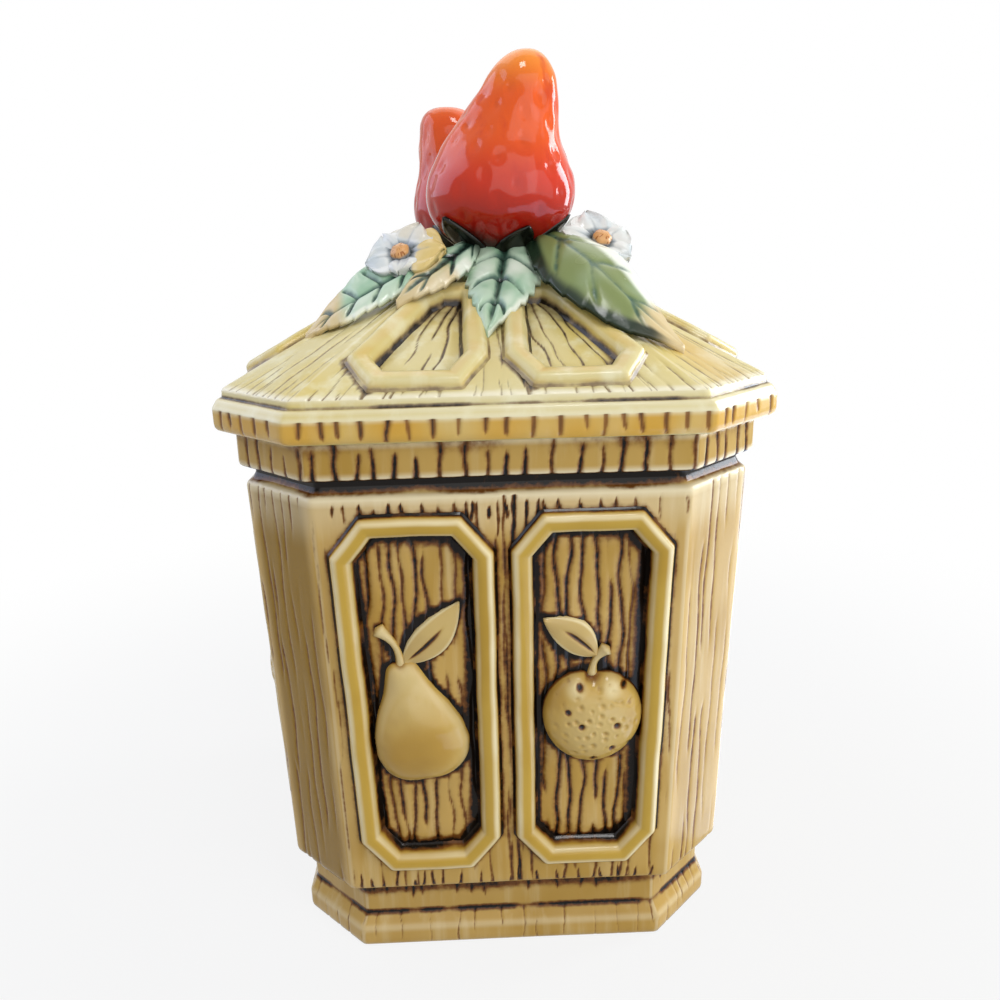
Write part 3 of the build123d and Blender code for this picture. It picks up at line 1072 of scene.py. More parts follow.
def make_piece(form: Form, name: str, glaze: Glaze, body: Body, node: str) -> None:
    """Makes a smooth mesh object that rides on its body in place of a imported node, and reports it.

    Args:
        form: What to make, in millimetres.
        name: Name of the piece.
        glaze: What it is glazed with.
        body: Body that it moves with.
        node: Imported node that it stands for.
    """
    mesh = bpy.data.meshes.new(name)
    faces = [corner for group in form.faces for corner in group.tolist()]
    mesh.from_pydata((form.points * MM).tolist(), [], faces)
    for mark, values in form.marks.items():
        attribute = mesh.attributes.new(mark, "FLOAT", "POINT")
        attribute.data.foreach_set("value", np.asarray(values, np.float32))
    work = bmesh.new()
    work.from_mesh(mesh)
    bmesh.ops.recalc_face_normals(work, faces=work.faces)
    for face in work.faces:
        face.smooth = True
    work.to_mesh(mesh)
    work.free()
    mesh.materials.append(glaze.material)
    piece = bpy.data.objects.new(name, mesh)
    bpy.context.scene.collection.objects.link(piece)
    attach(piece, body.value)
    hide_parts(node)
    LOG.info("%s rides on %s, %d faces", piece.name, body.value, len(piece.data.polygons))


@dataclass
class Tub:
    """Cast tub: plinth, neck, flared walls with sunk panels, groove, cornice and hollow."""

    rng: Generator
    foot_recess: float = 4.0
    foot_half_width: float = 55.9
    plinth_half_width: float = 64.9
    plinth_face: float = 6.5
    neck_level: float = 11.0
    neck_half_width: float = 62.7
    wall_level: float = 23.0
    wall_height: float = 123.6
    wall_foot_half_width: float = 67.4
    wall_head_half_width: float = 70.9
    groove_half_width: float = 68.4
    cornice_level: float = 151.5
    cornice_half_width: float = 72.2
    rim_level: float = 162.0
    mouth_half_width: float = 62.9
    inner_wall_half_width: float = 61.9
    inner_wall_level: float = 28.5
    inner_neck_half_width: float = 57.2
    floor_level: float = 10.0
    panel_depth: float = 2.3
    panel_pillow: float = 0.9
    frame_bar: float = 6.0
    frame_gap: float = 4.2
    frame_side_margin: float = 3.9
    frame_top_margin: float = 5.0
    frame_bottom_margin: float = 7.7
    frame_cut_width: float = 8.5
    frame_cut_height: float = 10.5
    corner_share: float = 0.295

    # Thickness of the glaze that ran together on the corner facets, laid heavier on the left ones as painted
    # shade
    facet_glaze_and_shade = {"front_left": 1.0, "back_left": 0.8, "front_right": 0.4, "back_right": 0.6}

    # Grain of the walls, of the strip between the doors, of the door panels and of the corner facets
    boards = GrainLines(
        4.2, 0.45, 0.34, depth=0.4, stain=0.62, sway=0.6, sway_length=46.0, presence=-0.1, wash=0.24
    )
    between = GrainLines(
        2.6, 0.3, 0.32, depth=0.5, stain=0.9, sway=0.4, sway_length=44.0, presence=0.2, wash=0.42
    )
    planks = GrainLines(
        3.5, 0.28, 0.39, depth=0.7, stain=0.8, sway=0.9, sway_length=42.0, presence=0.55, wash=0.4
    )
    corner_boards = GrainLines(
        4.0, 0.45, 0.34, depth=0.4, stain=0.58, sway=0.6, sway_length=60.0, presence=0.3, wash=0.24
    )
    mouldings = {
        (Zone.CORNICE,): TickBand(
            152.0, 161.4, 5.8, 0.3, 0.46, 0.5, 0.92, Anchor.BOTTOM, least=0.65, most=1.4, wash=0.48
        ),
        (Zone.NECK,): TickBand(11.2, 22.6, 3.8, 0.5, 0.4, 0.4, 0.95, Anchor.TOP, least=0.25, most=0.7),
        (Zone.PLINTH, Zone.BEVEL): TickBand(
            0.4, 10.8, 6.2, 0.5, 0.28, 0.25, 0.46, Anchor.BOTH, least=0.6, most=1.2, wash=0.2
        ),
    }

    @property
    def wall_length(self) -> float:
        """Length of a wall measured up its slope."""
        return math.hypot(self.wall_height, self.wall_head_half_width - self.wall_foot_half_width)

    @property
    def wall_head(self) -> float:
        """Height of the upper edge of the walls."""
        return self.wall_level + self.wall_height

    @property
    def column_middle(self) -> float:
        """Distance of the middle of a door from the middle of its wall."""
        wide = (self.wall_foot_half_width + self.wall_head_half_width) / 2.0 * (1.0 - self.corner_share)
        return (self.frame_gap / 2.0 + wide - self.frame_side_margin) / 2.0

    def face(self, angle: float) -> Face:
        """Place at the middle of a wall's lower edge."""
        flare = self.wall_head_half_width - self.wall_foot_half_width
        return outward_face(angle, self.wall_foot_half_width, self.wall_level, (self.wall_height, -flare))

    def frame_outline(self, side: int) -> Array:
        """Outer corners of a door frame.

        Args:
            side: -1 for the left one and 1 for the right one.

        Returns:
            Places across and up the face, anticlockwise.
        """
        foot = self.frame_bottom_margin
        head = self.wall_length - self.frame_top_margin
        near = self.frame_gap / 2.0
        far_foot = self.wall_foot_half_width * (1.0 - self.corner_share) - self.frame_side_margin
        far_head = self.wall_head_half_width * (1.0 - self.corner_share) - self.frame_side_margin
        wide, tall = self.frame_cut_width, self.frame_cut_height
        corners = [
            (near + wide, foot),
            (far_foot - wide, foot),
            (far_foot, foot + tall),
            (far_head, head - tall),
            (far_head - wide, head),
            (near + wide, head),
            (near, head - tall),
            (near, foot + tall),
        ]
        return mirrored(corners, side)

    def profile(self) -> Profile:
        """Lists the corners of the tub's profile.

        Returns:
            Its rows, from the middle of the foot round to the middle of its floor.
        """
        corners = [
            Corner(0.6, self.foot_recess, 0.0, 28.0, Zone.FOOT),
            Corner(self.foot_half_width, self.foot_recess, 0.0, 4.0, Zone.FOOT),
            Corner(self.foot_half_width + 0.5, 0.0, 0.9, 9.0, Zone.FOOT),
            Corner(self.plinth_half_width, 0.0, 1.8, 1.5, Zone.PLINTH),
            Corner(self.plinth_half_width, self.plinth_face, 2.8, 1.4, Zone.BEVEL),
            Corner(self.neck_half_width, self.neck_level, 0.7, 1.6, Zone.NECK),
            Corner(self.neck_half_width, self.wall_level, 0.8, 2.4, Zone.LEDGE),
            Corner(self.wall_foot_half_width, self.wall_level, 1.8, 1.6, Zone.WALL),
            Corner(self.wall_head_half_width, self.wall_head, 2.2, 0.9, Zone.GROOVE),
            Corner(self.groove_half_width + 0.8, self.wall_head + 1.0, 1.2, 0.8, Zone.GROOVE),
            Corner(self.groove_half_width, self.wall_head + 2.6, 1.0, 0.8, Zone.GROOVE),
            Corner(self.groove_half_width, self.cornice_level, 0.5, 2.0, Zone.GROOVE),
            Corner(self.cornice_half_width, self.cornice_level, 1.5, 1.2, Zone.CORNICE),
            Corner(self.cornice_half_width, self.rim_level, 1.4, 4.0, Zone.RIM),
            Corner(self.mouth_half_width, self.rim_level, 1.4, 8.0, Zone.INSIDE),
            Corner(self.mouth_half_width, self.wall_head, 0.0, 30.0, Zone.INSIDE),
            Corner(self.inner_wall_half_width, self.inner_wall_level, 2.5, 6.0, Zone.INSIDE),
            Corner(self.inner_neck_half_width, self.wall_level, 2.0, 6.0, Zone.INSIDE),
            Corner(self.inner_neck_half_width, self.floor_level, 4.0, 20.0, Zone.INSIDE),
            Corner(0.6, self.floor_level, 0.0, 20.0, Zone.INSIDE),
        ]
        return Profile(corners, arc_rows=4)

    def wall_grain(self, across: Array, climb: Array) -> tuple[Array, Array]:
        """Grain and ticks on a door wall, outside the doors.

        Args:
            across: Distance across at each point.
            climb: Distance up at each point.

        Returns:
            Depth in millimetres and stain from 0 to 1.
        """
        reach = self.wall_head_half_width * (1.0 - self.corner_share)
        head = self.wall_length - self.frame_top_margin
        top = self.wall_length - 1.6
        calm = soft_step(self.wall_length - 9.0, self.wall_length - 18.0, climb)
        cuts = [(part * calm for part in self.boards.cut(self.rng, across, climb, (-reach, reach)))]
        cuts.append(self.between.cut(self.rng, across, climb, (-3.4, 3.4)))
        bands = (
            (TickBand(0.0, 8.5, 4.2, 0.5, 0.38, 0.45, 0.95, Anchor.BOTTOM, least=0.35, most=1.1), reach),
            (TickBand(head - 0.4, top, 4.6, 0.4, 0.42, 0.45, 1.0, Anchor.BOTTOM, least=0.75, most=1.5), 39.0),
            (TickBand(top - 20.0, top, 4.2, 0.25, 0.34, 0.5, 0.95, Anchor.TOP, least=0.4, most=1.0), 11.0),
        )
        cuts += [band.cut(self.rng, across, climb, wide) for band, wide in bands]
        ends = TickBand(top - 8.0, top, 5.5, 0.5, 0.34, 0.4, 0.7, Anchor.TOP, least=0.4, most=1.0)
        margin = soft_step(37.0, 39.0, np.abs(across))
        cuts.append(part * margin for part in ends.cut(self.rng, across, climb, reach))
        depth, stain = (np.maximum.reduce(values) for values in zip(*cuts))
        return depth, stain

    def carve_wall(self, shell: Shell, name: str, sprig_lines: list[Array]) -> None:
        """Cuts a door wall: grain, sunk panels, the stain that pools in them and painted shade along their
        right edges.

        Args:
            shell: Surface to carve.
            name: Side that the wall is on.
            sprig_lines: Outlines of the fruit, stems and leaves on this wall.
        """
        patch = shell.patch(name, Zone.WALL)
        across = shell.across[patch]
        climb = (shell.level[patch] - self.wall_level) * self.wall_length / self.wall_height
        depth, stain = self.wall_grain(across, climb)
        rise = -depth
        for side in COLUMNS.values():
            outline = self.frame_outline(side)
            inside = inner_distance(outline, across, climb)
            field = inside - self.frame_bar
            span = (min(outline[:, 0]) + self.frame_bar + 1.0, max(outline[:, 0]) - self.frame_bar - 0.5)
            middle_gap = (across - sum(span) / 2.0) / (span[1] - span[0])
            plank_depth, plank_stain = self.planks.cut(self.rng, across, climb, span)
            sink = self.panel_depth - self.panel_pillow * soft_step(0.5, 7.0, field)
            sunk = soft_step(1.4, 4.6, inside)
            rise = rise * (1.0 - sunk) - sunk * (sink + plank_depth)
            # Stain pooled along each panel's inner edge, widened towards its right side as painted shade
            pool_and_shade_width = 2.9 + 2.2 * middle_gap + 0.9 * Mottle(self.rng, 30.0).at(across, climb)
            edge_pool_and_shade = 1.0 - soft_step(0.2, 1.0, (field - 0.5) / np.maximum(pool_and_shade_width, 0.9))
            halo = 0.24 * np.exp(-np.maximum(field, 0.0) / 4.5)
            panel_stain = over(over(plank_stain, edge_pool_and_shade), halo)
            outer = 0.7 * np.exp(-np.maximum(-inside, 0.0) / 0.9)
            stain = np.where(inside > 0.0, panel_stain, over(stain, outer))
        for line in sprig_lines:
            gap = line_distance(line, across, climb)
            stain = over(over(stain, 1.0 - soft_step(0.6, 1.9, gap)), 0.2 * np.exp(-gap / 3.0))
        shell.carve(patch, rise, stain)

    def carve_corner(self, shell: Shell, name: str) -> None:
        """Cuts the grain of a corner wall.

        Args:
            shell: Surface to carve.
            name: Side that it is on.
        """
        patch = shell.patch(name, Zone.WALL)
        climb = shell.level[patch] - self.wall_level
        depth, stain = self.corner_boards.cut(self.rng, shell.across[patch], climb, (-16.0, 16.0))
        shell.carve(patch, -depth, stain)

    def darken_mouldings(self, shell: Shell) -> None:
        """Darkens the junctions of the mouldings and the groove, and paints shade under the walls and the
        brim's shadow on the top of the cornice.

        Args:
            shell: Surface to stain.
        """
        broken = Wobble(self.rng, 40.0).at(shell.around)
        patchy = 0.45 + 0.55 * soft_step(-0.75, -0.2, broken)
        junction = bell((shell.level - self.neck_level - 0.2) / 0.75) * shell.rows(Zone.BEVEL, Zone.NECK)
        shell.darken(0.95 * junction * patchy)
        # Painted shade on the ledge under the foot of the walls and on the top of the neck below it
        edge = self.wall_foot_half_width
        half_width = shell.profile.half_width[:, None]
        under = shell.rows(Zone.LEDGE) * soft_step(edge - 0.4, edge - 2.4, half_width)
        shadow = np.exp(-np.maximum(self.wall_level - 4.1 - shell.level, 0.0) / 1.5)
        under = np.maximum(under, 0.66 * shell.rows(Zone.NECK) * shadow)
        shell.darken(under * (0.85 + 0.25 * broken))
        # Painted shadow of the brim on the top of the cornice
        upper = soft_step(self.rim_level - 6.5, self.rim_level - 1.0, shell.level)
        shade = 0.32 * shell.rows(Zone.CORNICE) * upper
        shell.darken(shade * (0.8 + 0.4 * broken))
        edge = self.wall_head + 0.9 + 0.5 * Wobble(self.rng, 40.0).at(shell.around)
        brown = 0.6 * soft_step(-1.2, 0.9, shell.level - edge)
        black = soft_step(0.8, 1.9, shell.level - edge)
        shell.darken(shell.rows(Zone.GROOVE) * over(brown, black))

    def marks(self, shell: Shell) -> dict[str, Array]:
        """Where the glaze runs thin, where it gathers, where light and shade are painted and where the clay
        is bare.

        Args:
            shell: The carved tub.

        Returns:
            The marks.
        """
        rows, level = shell.rows, shell.level
        outside = 1.0 - rows(Zone.INSIDE, Zone.FOOT, Zone.RIM)
        upright = 0.8 * shell.corner * outside * (1.0 - rows(Zone.GROOVE))
        kept = outside * (1.0 - 0.8 * bell((level - self.wall_level) / 2.5))
        kept = kept * (1.0 - 0.45 * rows(Zone.PLINTH, Zone.BEVEL))
        thin = 0.55 * soft_step(self.wall_head - 24.0, self.wall_head - 3.0, level)
        # Painted light: paler outer margins of the door walls
        margin = 0.34 * soft_step(40.0, 46.0, np.abs(shell.across)) * (shell.side % 2 == 0)
        thin = np.maximum(thin, margin) * rows(Zone.WALL)
        ridge = np.maximum(np.maximum(shell.profile.ridge[:, None] * kept, thin), upright)
        # Amber of pooled glaze on the corner facets, heavier on the left ones as painted shade
        glaze = np.array([self.facet_glaze_and_shade.get(SIDES[side], 0.0) for side in shell.side])
        thick_glaze_and_shade = glaze * rows(Zone.WALL) * soft_step(1.0, 0.6, shell.facet_share)
        amber = np.maximum(0.3 * rows(Zone.CORNICE) + 0.25 * rows(Zone.NECK, Zone.BEVEL), thick_glaze_and_shade)
        return {"ridge": ridge, "amber": amber, "bare": rows(Zone.FOOT) * (level < 0.6)}

    def build(self, sprig_lines: list[Array]) -> None:
        """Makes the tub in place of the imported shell.

        Args:
            sprig_lines: Lines round the sprigs on a wall, along which the stain pools.
        """
        plan = OctagonPlan(self.corner_share, main_columns=236, corner_columns=60, edge_radius=2.6)
        shell = Shell(self.profile(), plan)
        for name in SIDES:
            if name in WALLS:
                self.carve_wall(shell, name, sprig_lines)
            else:
                self.carve_corner(shell, name)
        shell.cut_ticks(self.rng, self.mouldings, shell.stain)
        self.darken_mouldings(shell)
        cast = Mottle(self.rng, 60.0).at(shell.around, shell.level)
        shell.rise += 0.16 * cast * (1.0 - shell.rows(Zone.INSIDE, Zone.FOOT, Zone.RIM))
        form = shell.form(self.marks(shell))
        make_piece(form, "tub_shell", TUB_GLAZE, Body.CANISTER, "body_shell")


@dataclass
class FruitSprigs:
    """Pears and oranges in relief, each with a stem and a leaf."""

    rng: Generator
    tub: Tub
    relief: float = 8.0
    root: float = 2.6
    pear_height: float = 38.0
    pear_width: float = 27.0
    pear_lean: float = 11.0
    pear_shift: float = 1.5
    pear_foot: float = 38.6
    orange_diameter: float = 28.8
    pits: int = 64
    orange_middle: float = 57.0
    orange_shift: float = 1.0
    leaf_width: float = 9.9
    leaf_relief: float = 2.6
    stem_width: float = 2.9
    pear_stem_length: float = 13.0
    pear_stem_turn: float = 15.0
    pear_leaf_length: float = 24.0
    pear_leaf_turn: float = -53.0
    pear_leaf_root: tuple[float, float] = (0.9, 0.9)
    orange_stem_length: float = 9.0
    orange_stem_turn: float = -26.0
    orange_leaf_length: float = 18.6
    orange_leaf_turn: float = 79.0
    orange_leaf_root: tuple[float, float] = (-1.6, -0.8)
    overlap: float = 2.0
    pear_rows: int = 41
    pear_columns: int = 46
    orange_rings: int = 34
    orange_spokes: int = 96
    leaf_rows: int = 30

    # Half outline of the pear from its foot to its stem, as shares of its half width and its height
    pear_radii = (0.0, 0.3, 0.62, 0.88, 1.0, 0.985, 0.94, 0.77, 0.53, 0.41, 0.32, 0.18, 0.02)
    pear_levels = (0.02, 0.0, 0.035, 0.12, 0.25, 0.34, 0.44, 0.6, 0.76, 0.88, 0.955, 0.99, 0.985)

    # Places across half a sprig leaf, from beyond its edge to its rib
    leaf_places = (-1.12, -1.04, -0.97, -0.9, -0.75, -0.55, -0.35, -0.18, -0.08, 0.0)

    def pear_profile(self, count: int) -> tuple[Array, Array]:
        """Half the outline of the pear.

        Args:
            count: Number of points.

        Returns:
            Radii and heights.
        """
        share = np.linspace(0.0, 1.0, count)
        radii = curve(self.pear_radii, share) * self.pear_width / 2.0
        return radii, curve(self.pear_levels, share) * self.pear_height

    def pear_place(self) -> Face:
        """Place of the pear's foot on the flat of a wall."""
        across = self.pear_shift - self.tub.column_middle
        return FLAT.at(across, self.pear_foot, self.pear_lean, -self.tub.panel_depth)

    def orange_place(self) -> Face:
        """Place of the orange's middle on the flat of a wall."""
        across = self.orange_shift + self.tub.column_middle
        return FLAT.at(across, self.orange_middle, 0.0, -self.tub.panel_depth)

    def pear_parts(self, foot: Face) -> tuple[Face, Face]:
        """Places of a pear's stem and leaf.

        Args:
            foot: Place that it stands on.

        Returns:
            The two places.
        """
        root = self.pear_height - self.overlap
        across, climb = self.pear_leaf_root
        return foot.at(0.0, root, self.pear_stem_turn), foot.at(across, root + climb, self.pear_leaf_turn)

    def orange_parts(self, middle: Face) -> tuple[Face, Face]:
        """Places of an orange's stem and leaf.

        Args:
            middle: Place of its middle.

        Returns:
            The two places.
        """
        stem = middle.at(0.0, self.orange_diameter / 2.0 - self.overlap, self.orange_stem_turn)
        across, climb = self.orange_leaf_root
        return stem, stem.at(across, self.orange_stem_length - self.overlap + climb, self.orange_leaf_turn)

    def leaf(self, length: float) -> Form:
        """Pointed leaf in low relief, lying flat.

        Args:
            length: Length from its stalk up to its tip.

        Returns:
            The leaf.
        """
        along = np.linspace(0.0, 1.0, self.leaf_rows)[:, None]
        left = np.array(self.leaf_places)
        wide = np.concatenate([left, -left[-2::-1]])[None, :]
        reach = np.abs(wide)
        half = self.leaf_width / 2.0 * np.sin(math.pi * along**0.86) ** 0.85 + 0.12
        inner = np.clip(reach, 0.0, 1.0)
        crown = self.leaf_relief * (0.62 + 0.38 * np.sin(math.pi * np.clip(along, 0.05, 0.9)))
        top = crown * (1.0 - 0.3 * inner**2) + 0.25 * Wobble(self.rng, 1.1).at(along)
        vein = bell(wide / 0.11) * soft_step(0.74, 0.45, along) * soft_step(0.02, 0.2, along)
        top = top - 0.75 * vein
        drop = np.select([reach > 1.1, reach > 1.0, reach > 0.93], [1.0, 0.72, 0.16], 0.0)
        height = top - drop * (top + self.root * 0.6)
        x = np.clip(wide, -1.08, 1.08) * half + 0.05 * length * np.sin(math.pi * along)
        y = along * length
        stain = over(0.95 * vein, np.where(reach > 1.0, 0.9, 0.0))
        edge = bell((inner - 0.93) / 0.1) * (reach < 1.0)
        marks = {"stain": stain, "ridge": np.maximum(edge, 0.4 * (1.0 - stain))}
        return slab(points_of(x, y, height), points_of(x, y, -self.root), marks)

    def stem(self, length: float, bend: float) -> Form:
        """Stalk with a cut end, lying flat.

        Args:
            length: Its length.
            bend: Its sideways bow.

        Returns:
            The stalk.
        """
        share = np.linspace(0.0, 1.0, 16)
        path = points_of(bend * np.sin(math.pi * share), length * share, 0.35 + 0.9 * share)
        radii = self.stem_width / 2.0 * (1.15 - 0.45 * np.sin(math.pi * share) + 0.3 * share**6)
        form = tube(path, radii, 14)
        rise = form.points[:, 2]
        marks = {"stain": 0.9 * soft_step(0.9, -0.4, rise), "ridge": 0.6 * soft_step(0.7, 1.9, rise)}
        return Form(form.points, form.faces, marks)

    def pear(self) -> Form:
        """Half pear that lies on the panel, with its stem and leaf.

        Returns:
            The sprig, with its foot at the origin.
        """
        radii, heights = self.pear_profile(self.pear_columns)
        turns = np.linspace(0.0, math.pi, self.pear_rows)[:, None]
        deep = self.relief / (self.pear_width / 2.0)
        side = -np.cos(turns) * radii
        swell = 0.3 * Mottle(self.rng, 17.0).at(side, heights) * np.sin(turns)
        rise = np.abs(np.sin(turns)) ** 0.9 * radii * deep + swell
        foot = bell(heights / 1.7, side / 4.2)
        socket = bell((heights - self.pear_height) / 2.4, side / 1.9)
        rise = rise - (1.2 * foot + 1.1 * socket)
        tall = heights / self.pear_height
        low = 1.0 - soft_step(0.0, 1.5, rise)
        # Painted highlight: cream over the upper part of the pear
        crown = 0.08 + 0.55 * soft_step(0.3, 0.95, tall) * soft_step(3.0, 5.0, rise)
        rim = 0.5 * soft_step(1.2, 2.6, rise) * soft_step(6.4, 3.4, rise)
        marks = {
            "stain": over(over(0.95 * low, 0.85 * foot), 0.5 * socket),
            "amber": bell((tall - 0.32) / 0.24) * soft_step(5.0, 7.5, rise),
            "ridge": np.maximum(crown, rim),
        }
        body = slab(points_of(side, heights, rise), points_of(side, heights, -self.root), marks)
        stem, leaf = self.pear_parts(FLAT)
        body = body.joined(self.stem(self.pear_stem_length, 1.6).placed(stem))
        return body.joined(self.leaf(self.pear_leaf_length).placed(leaf))

    def orange(self) -> Form:
        """Pitted dome of the orange, with its stem and leaf.

        Returns:
            The sprig, with its middle at the origin.
        """
        radius = self.orange_diameter / 2.0
        share = np.concatenate([[1.0], np.linspace(1.0, 0.06, self.orange_rings)])[:, None]
        turns = even_turns(self.orange_spokes)[None, :]
        pinch = 1.0 - 0.085 * bell((turns - math.pi / 2.0) / 0.3) + 0.012 * np.sin(3.0 * turns + 0.6)
        x, y = radius * share * pinch * np.cos(turns), radius * 1.03 * share * pinch * np.sin(turns)
        height = self.relief * np.sqrt(np.clip(1.0 - share**2.3, 0.0, 1.0)) ** 0.92
        height = np.broadcast_to(height, x.shape).copy()
        stain = np.zeros(x.shape)
        for number in range(self.pits):
            away = radius * math.sqrt((number + self.rng.uniform(0.2, 0.8)) / self.pits) * 0.97
            turn = number * GOLDEN_TURN + self.rng.uniform(-0.25, 0.25)
            deep = number % 9 == 4
            wide = self.rng.uniform(*((0.8, 1.05) if deep else (0.45, 0.8)))
            dark = self.rng.uniform(*((0.8, 1.0) if deep else (0.05, 0.36)))
            gap = np.hypot(x - away * math.cos(turn), y - away * math.sin(turn))
            pit = bell(gap / wide)
            rim = bell((gap - 1.5 * wide) / (0.6 * wide))
            height += wide * (0.18 * rim - 0.85 * pit) * soft_step(0.0, 1.5, height)
            stain = over(stain, np.minimum(1.2 * pit, 1.0) * dark)
        socket = np.exp(-(x**2 + (y - radius * 0.9) ** 2) / 6.0)
        height -= 1.6 * socket * soft_step(0.0, 2.0, height)
        stain = over(stain, 0.5 * socket)
        height[0] = -self.root
        low = 1.0 - soft_step(0.0, 1.3, height)
        # Painted shade on the orange's low flanks
        painted_flank_shade = 0.12 * soft_step(5.0, 1.0, height)
        # Cream on the dome's highest part, and a painted highlight on the two lobes beside the stem
        painted_lobe_highlight = bell((np.abs(x) - 5.0) / 3.2, (y - 0.7 * radius) / 3.6)
        pale = np.maximum(0.4 * soft_step(4.5, 8.0, height), 0.75 * painted_lobe_highlight) * (1.0 - stain)
        marks = {"stain": over(over(stain, 0.95 * low), painted_flank_shade), "ridge": pale}
        tip = np.array([0.0, 0.0, float(height[-1].mean())])
        form = dome(points_of(x, y, height), tip, marks, {"ridge": 0.5})
        stem, leaf = self.orange_parts(FLAT)
        form = form.joined(self.stem(self.orange_stem_length, -1.2).placed(stem))
        return form.joined(self.leaf(self.orange_leaf_length).placed(leaf))

    def outlines(self) -> list[Array]:
        """Outlines of the sprigs on a wall, along which the stain pools.

        Returns:
            A line of points across and up the wall for each part.
        """
        pear, orange = self.pear_place(), self.orange_place()
        half = points_of(*self.pear_profile(30), 0.0)
        turns = np.linspace(0.0, FULL_TURN, 33)
        ring = self.orange_diameter / 2.0 * points_of(np.cos(turns), np.sin(turns), 0.0)
        lines = [pear.world(np.concatenate([half, half[::-1] * np.array([-1.0, 1.0, 1.0])]))]
        lines.append(orange.world(ring))
        share = np.linspace(0.0, 1.0, 13)
        lens = np.concatenate([share, share[::-1]])
        wide = np.repeat([1.0, -1.0], 13) * self.leaf_width / 2.0 * np.sin(math.pi * lens**0.86)
        pear_sizes = (self.pear_stem_length, self.pear_leaf_length)
        orange_sizes = (self.orange_stem_length, self.orange_leaf_length)
        parts = ((self.pear_parts(pear), pear_sizes), (self.orange_parts(orange), orange_sizes))
        for (stem, leaf), (stem_length, leaf_length) in parts:
            lines.append(stem.world(np.array([[0.0, 0.0, 0.0], [0.0, stem_length, 0.0]])))
            lines.append(leaf.world(points_of(wide, leaf_length * lens, 0.0)))
        return [line[:, :2] for line in lines]

    def build(self) -> None:
        """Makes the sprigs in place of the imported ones."""
        for wall, angle in WALLS.items():
            face = self.tub.face(angle)
            forms = {"pear": self.pear().placed(self.pear_place())}
            forms["orange"] = self.orange().placed(self.orange_place())
            for fruit, form in forms.items():
                name, node = f"{fruit}_sprig_{wall}", f"{fruit}_{wall}"
                make_piece(form.placed(face), name, FRUIT_GLAZE, Body.CANISTER, node)


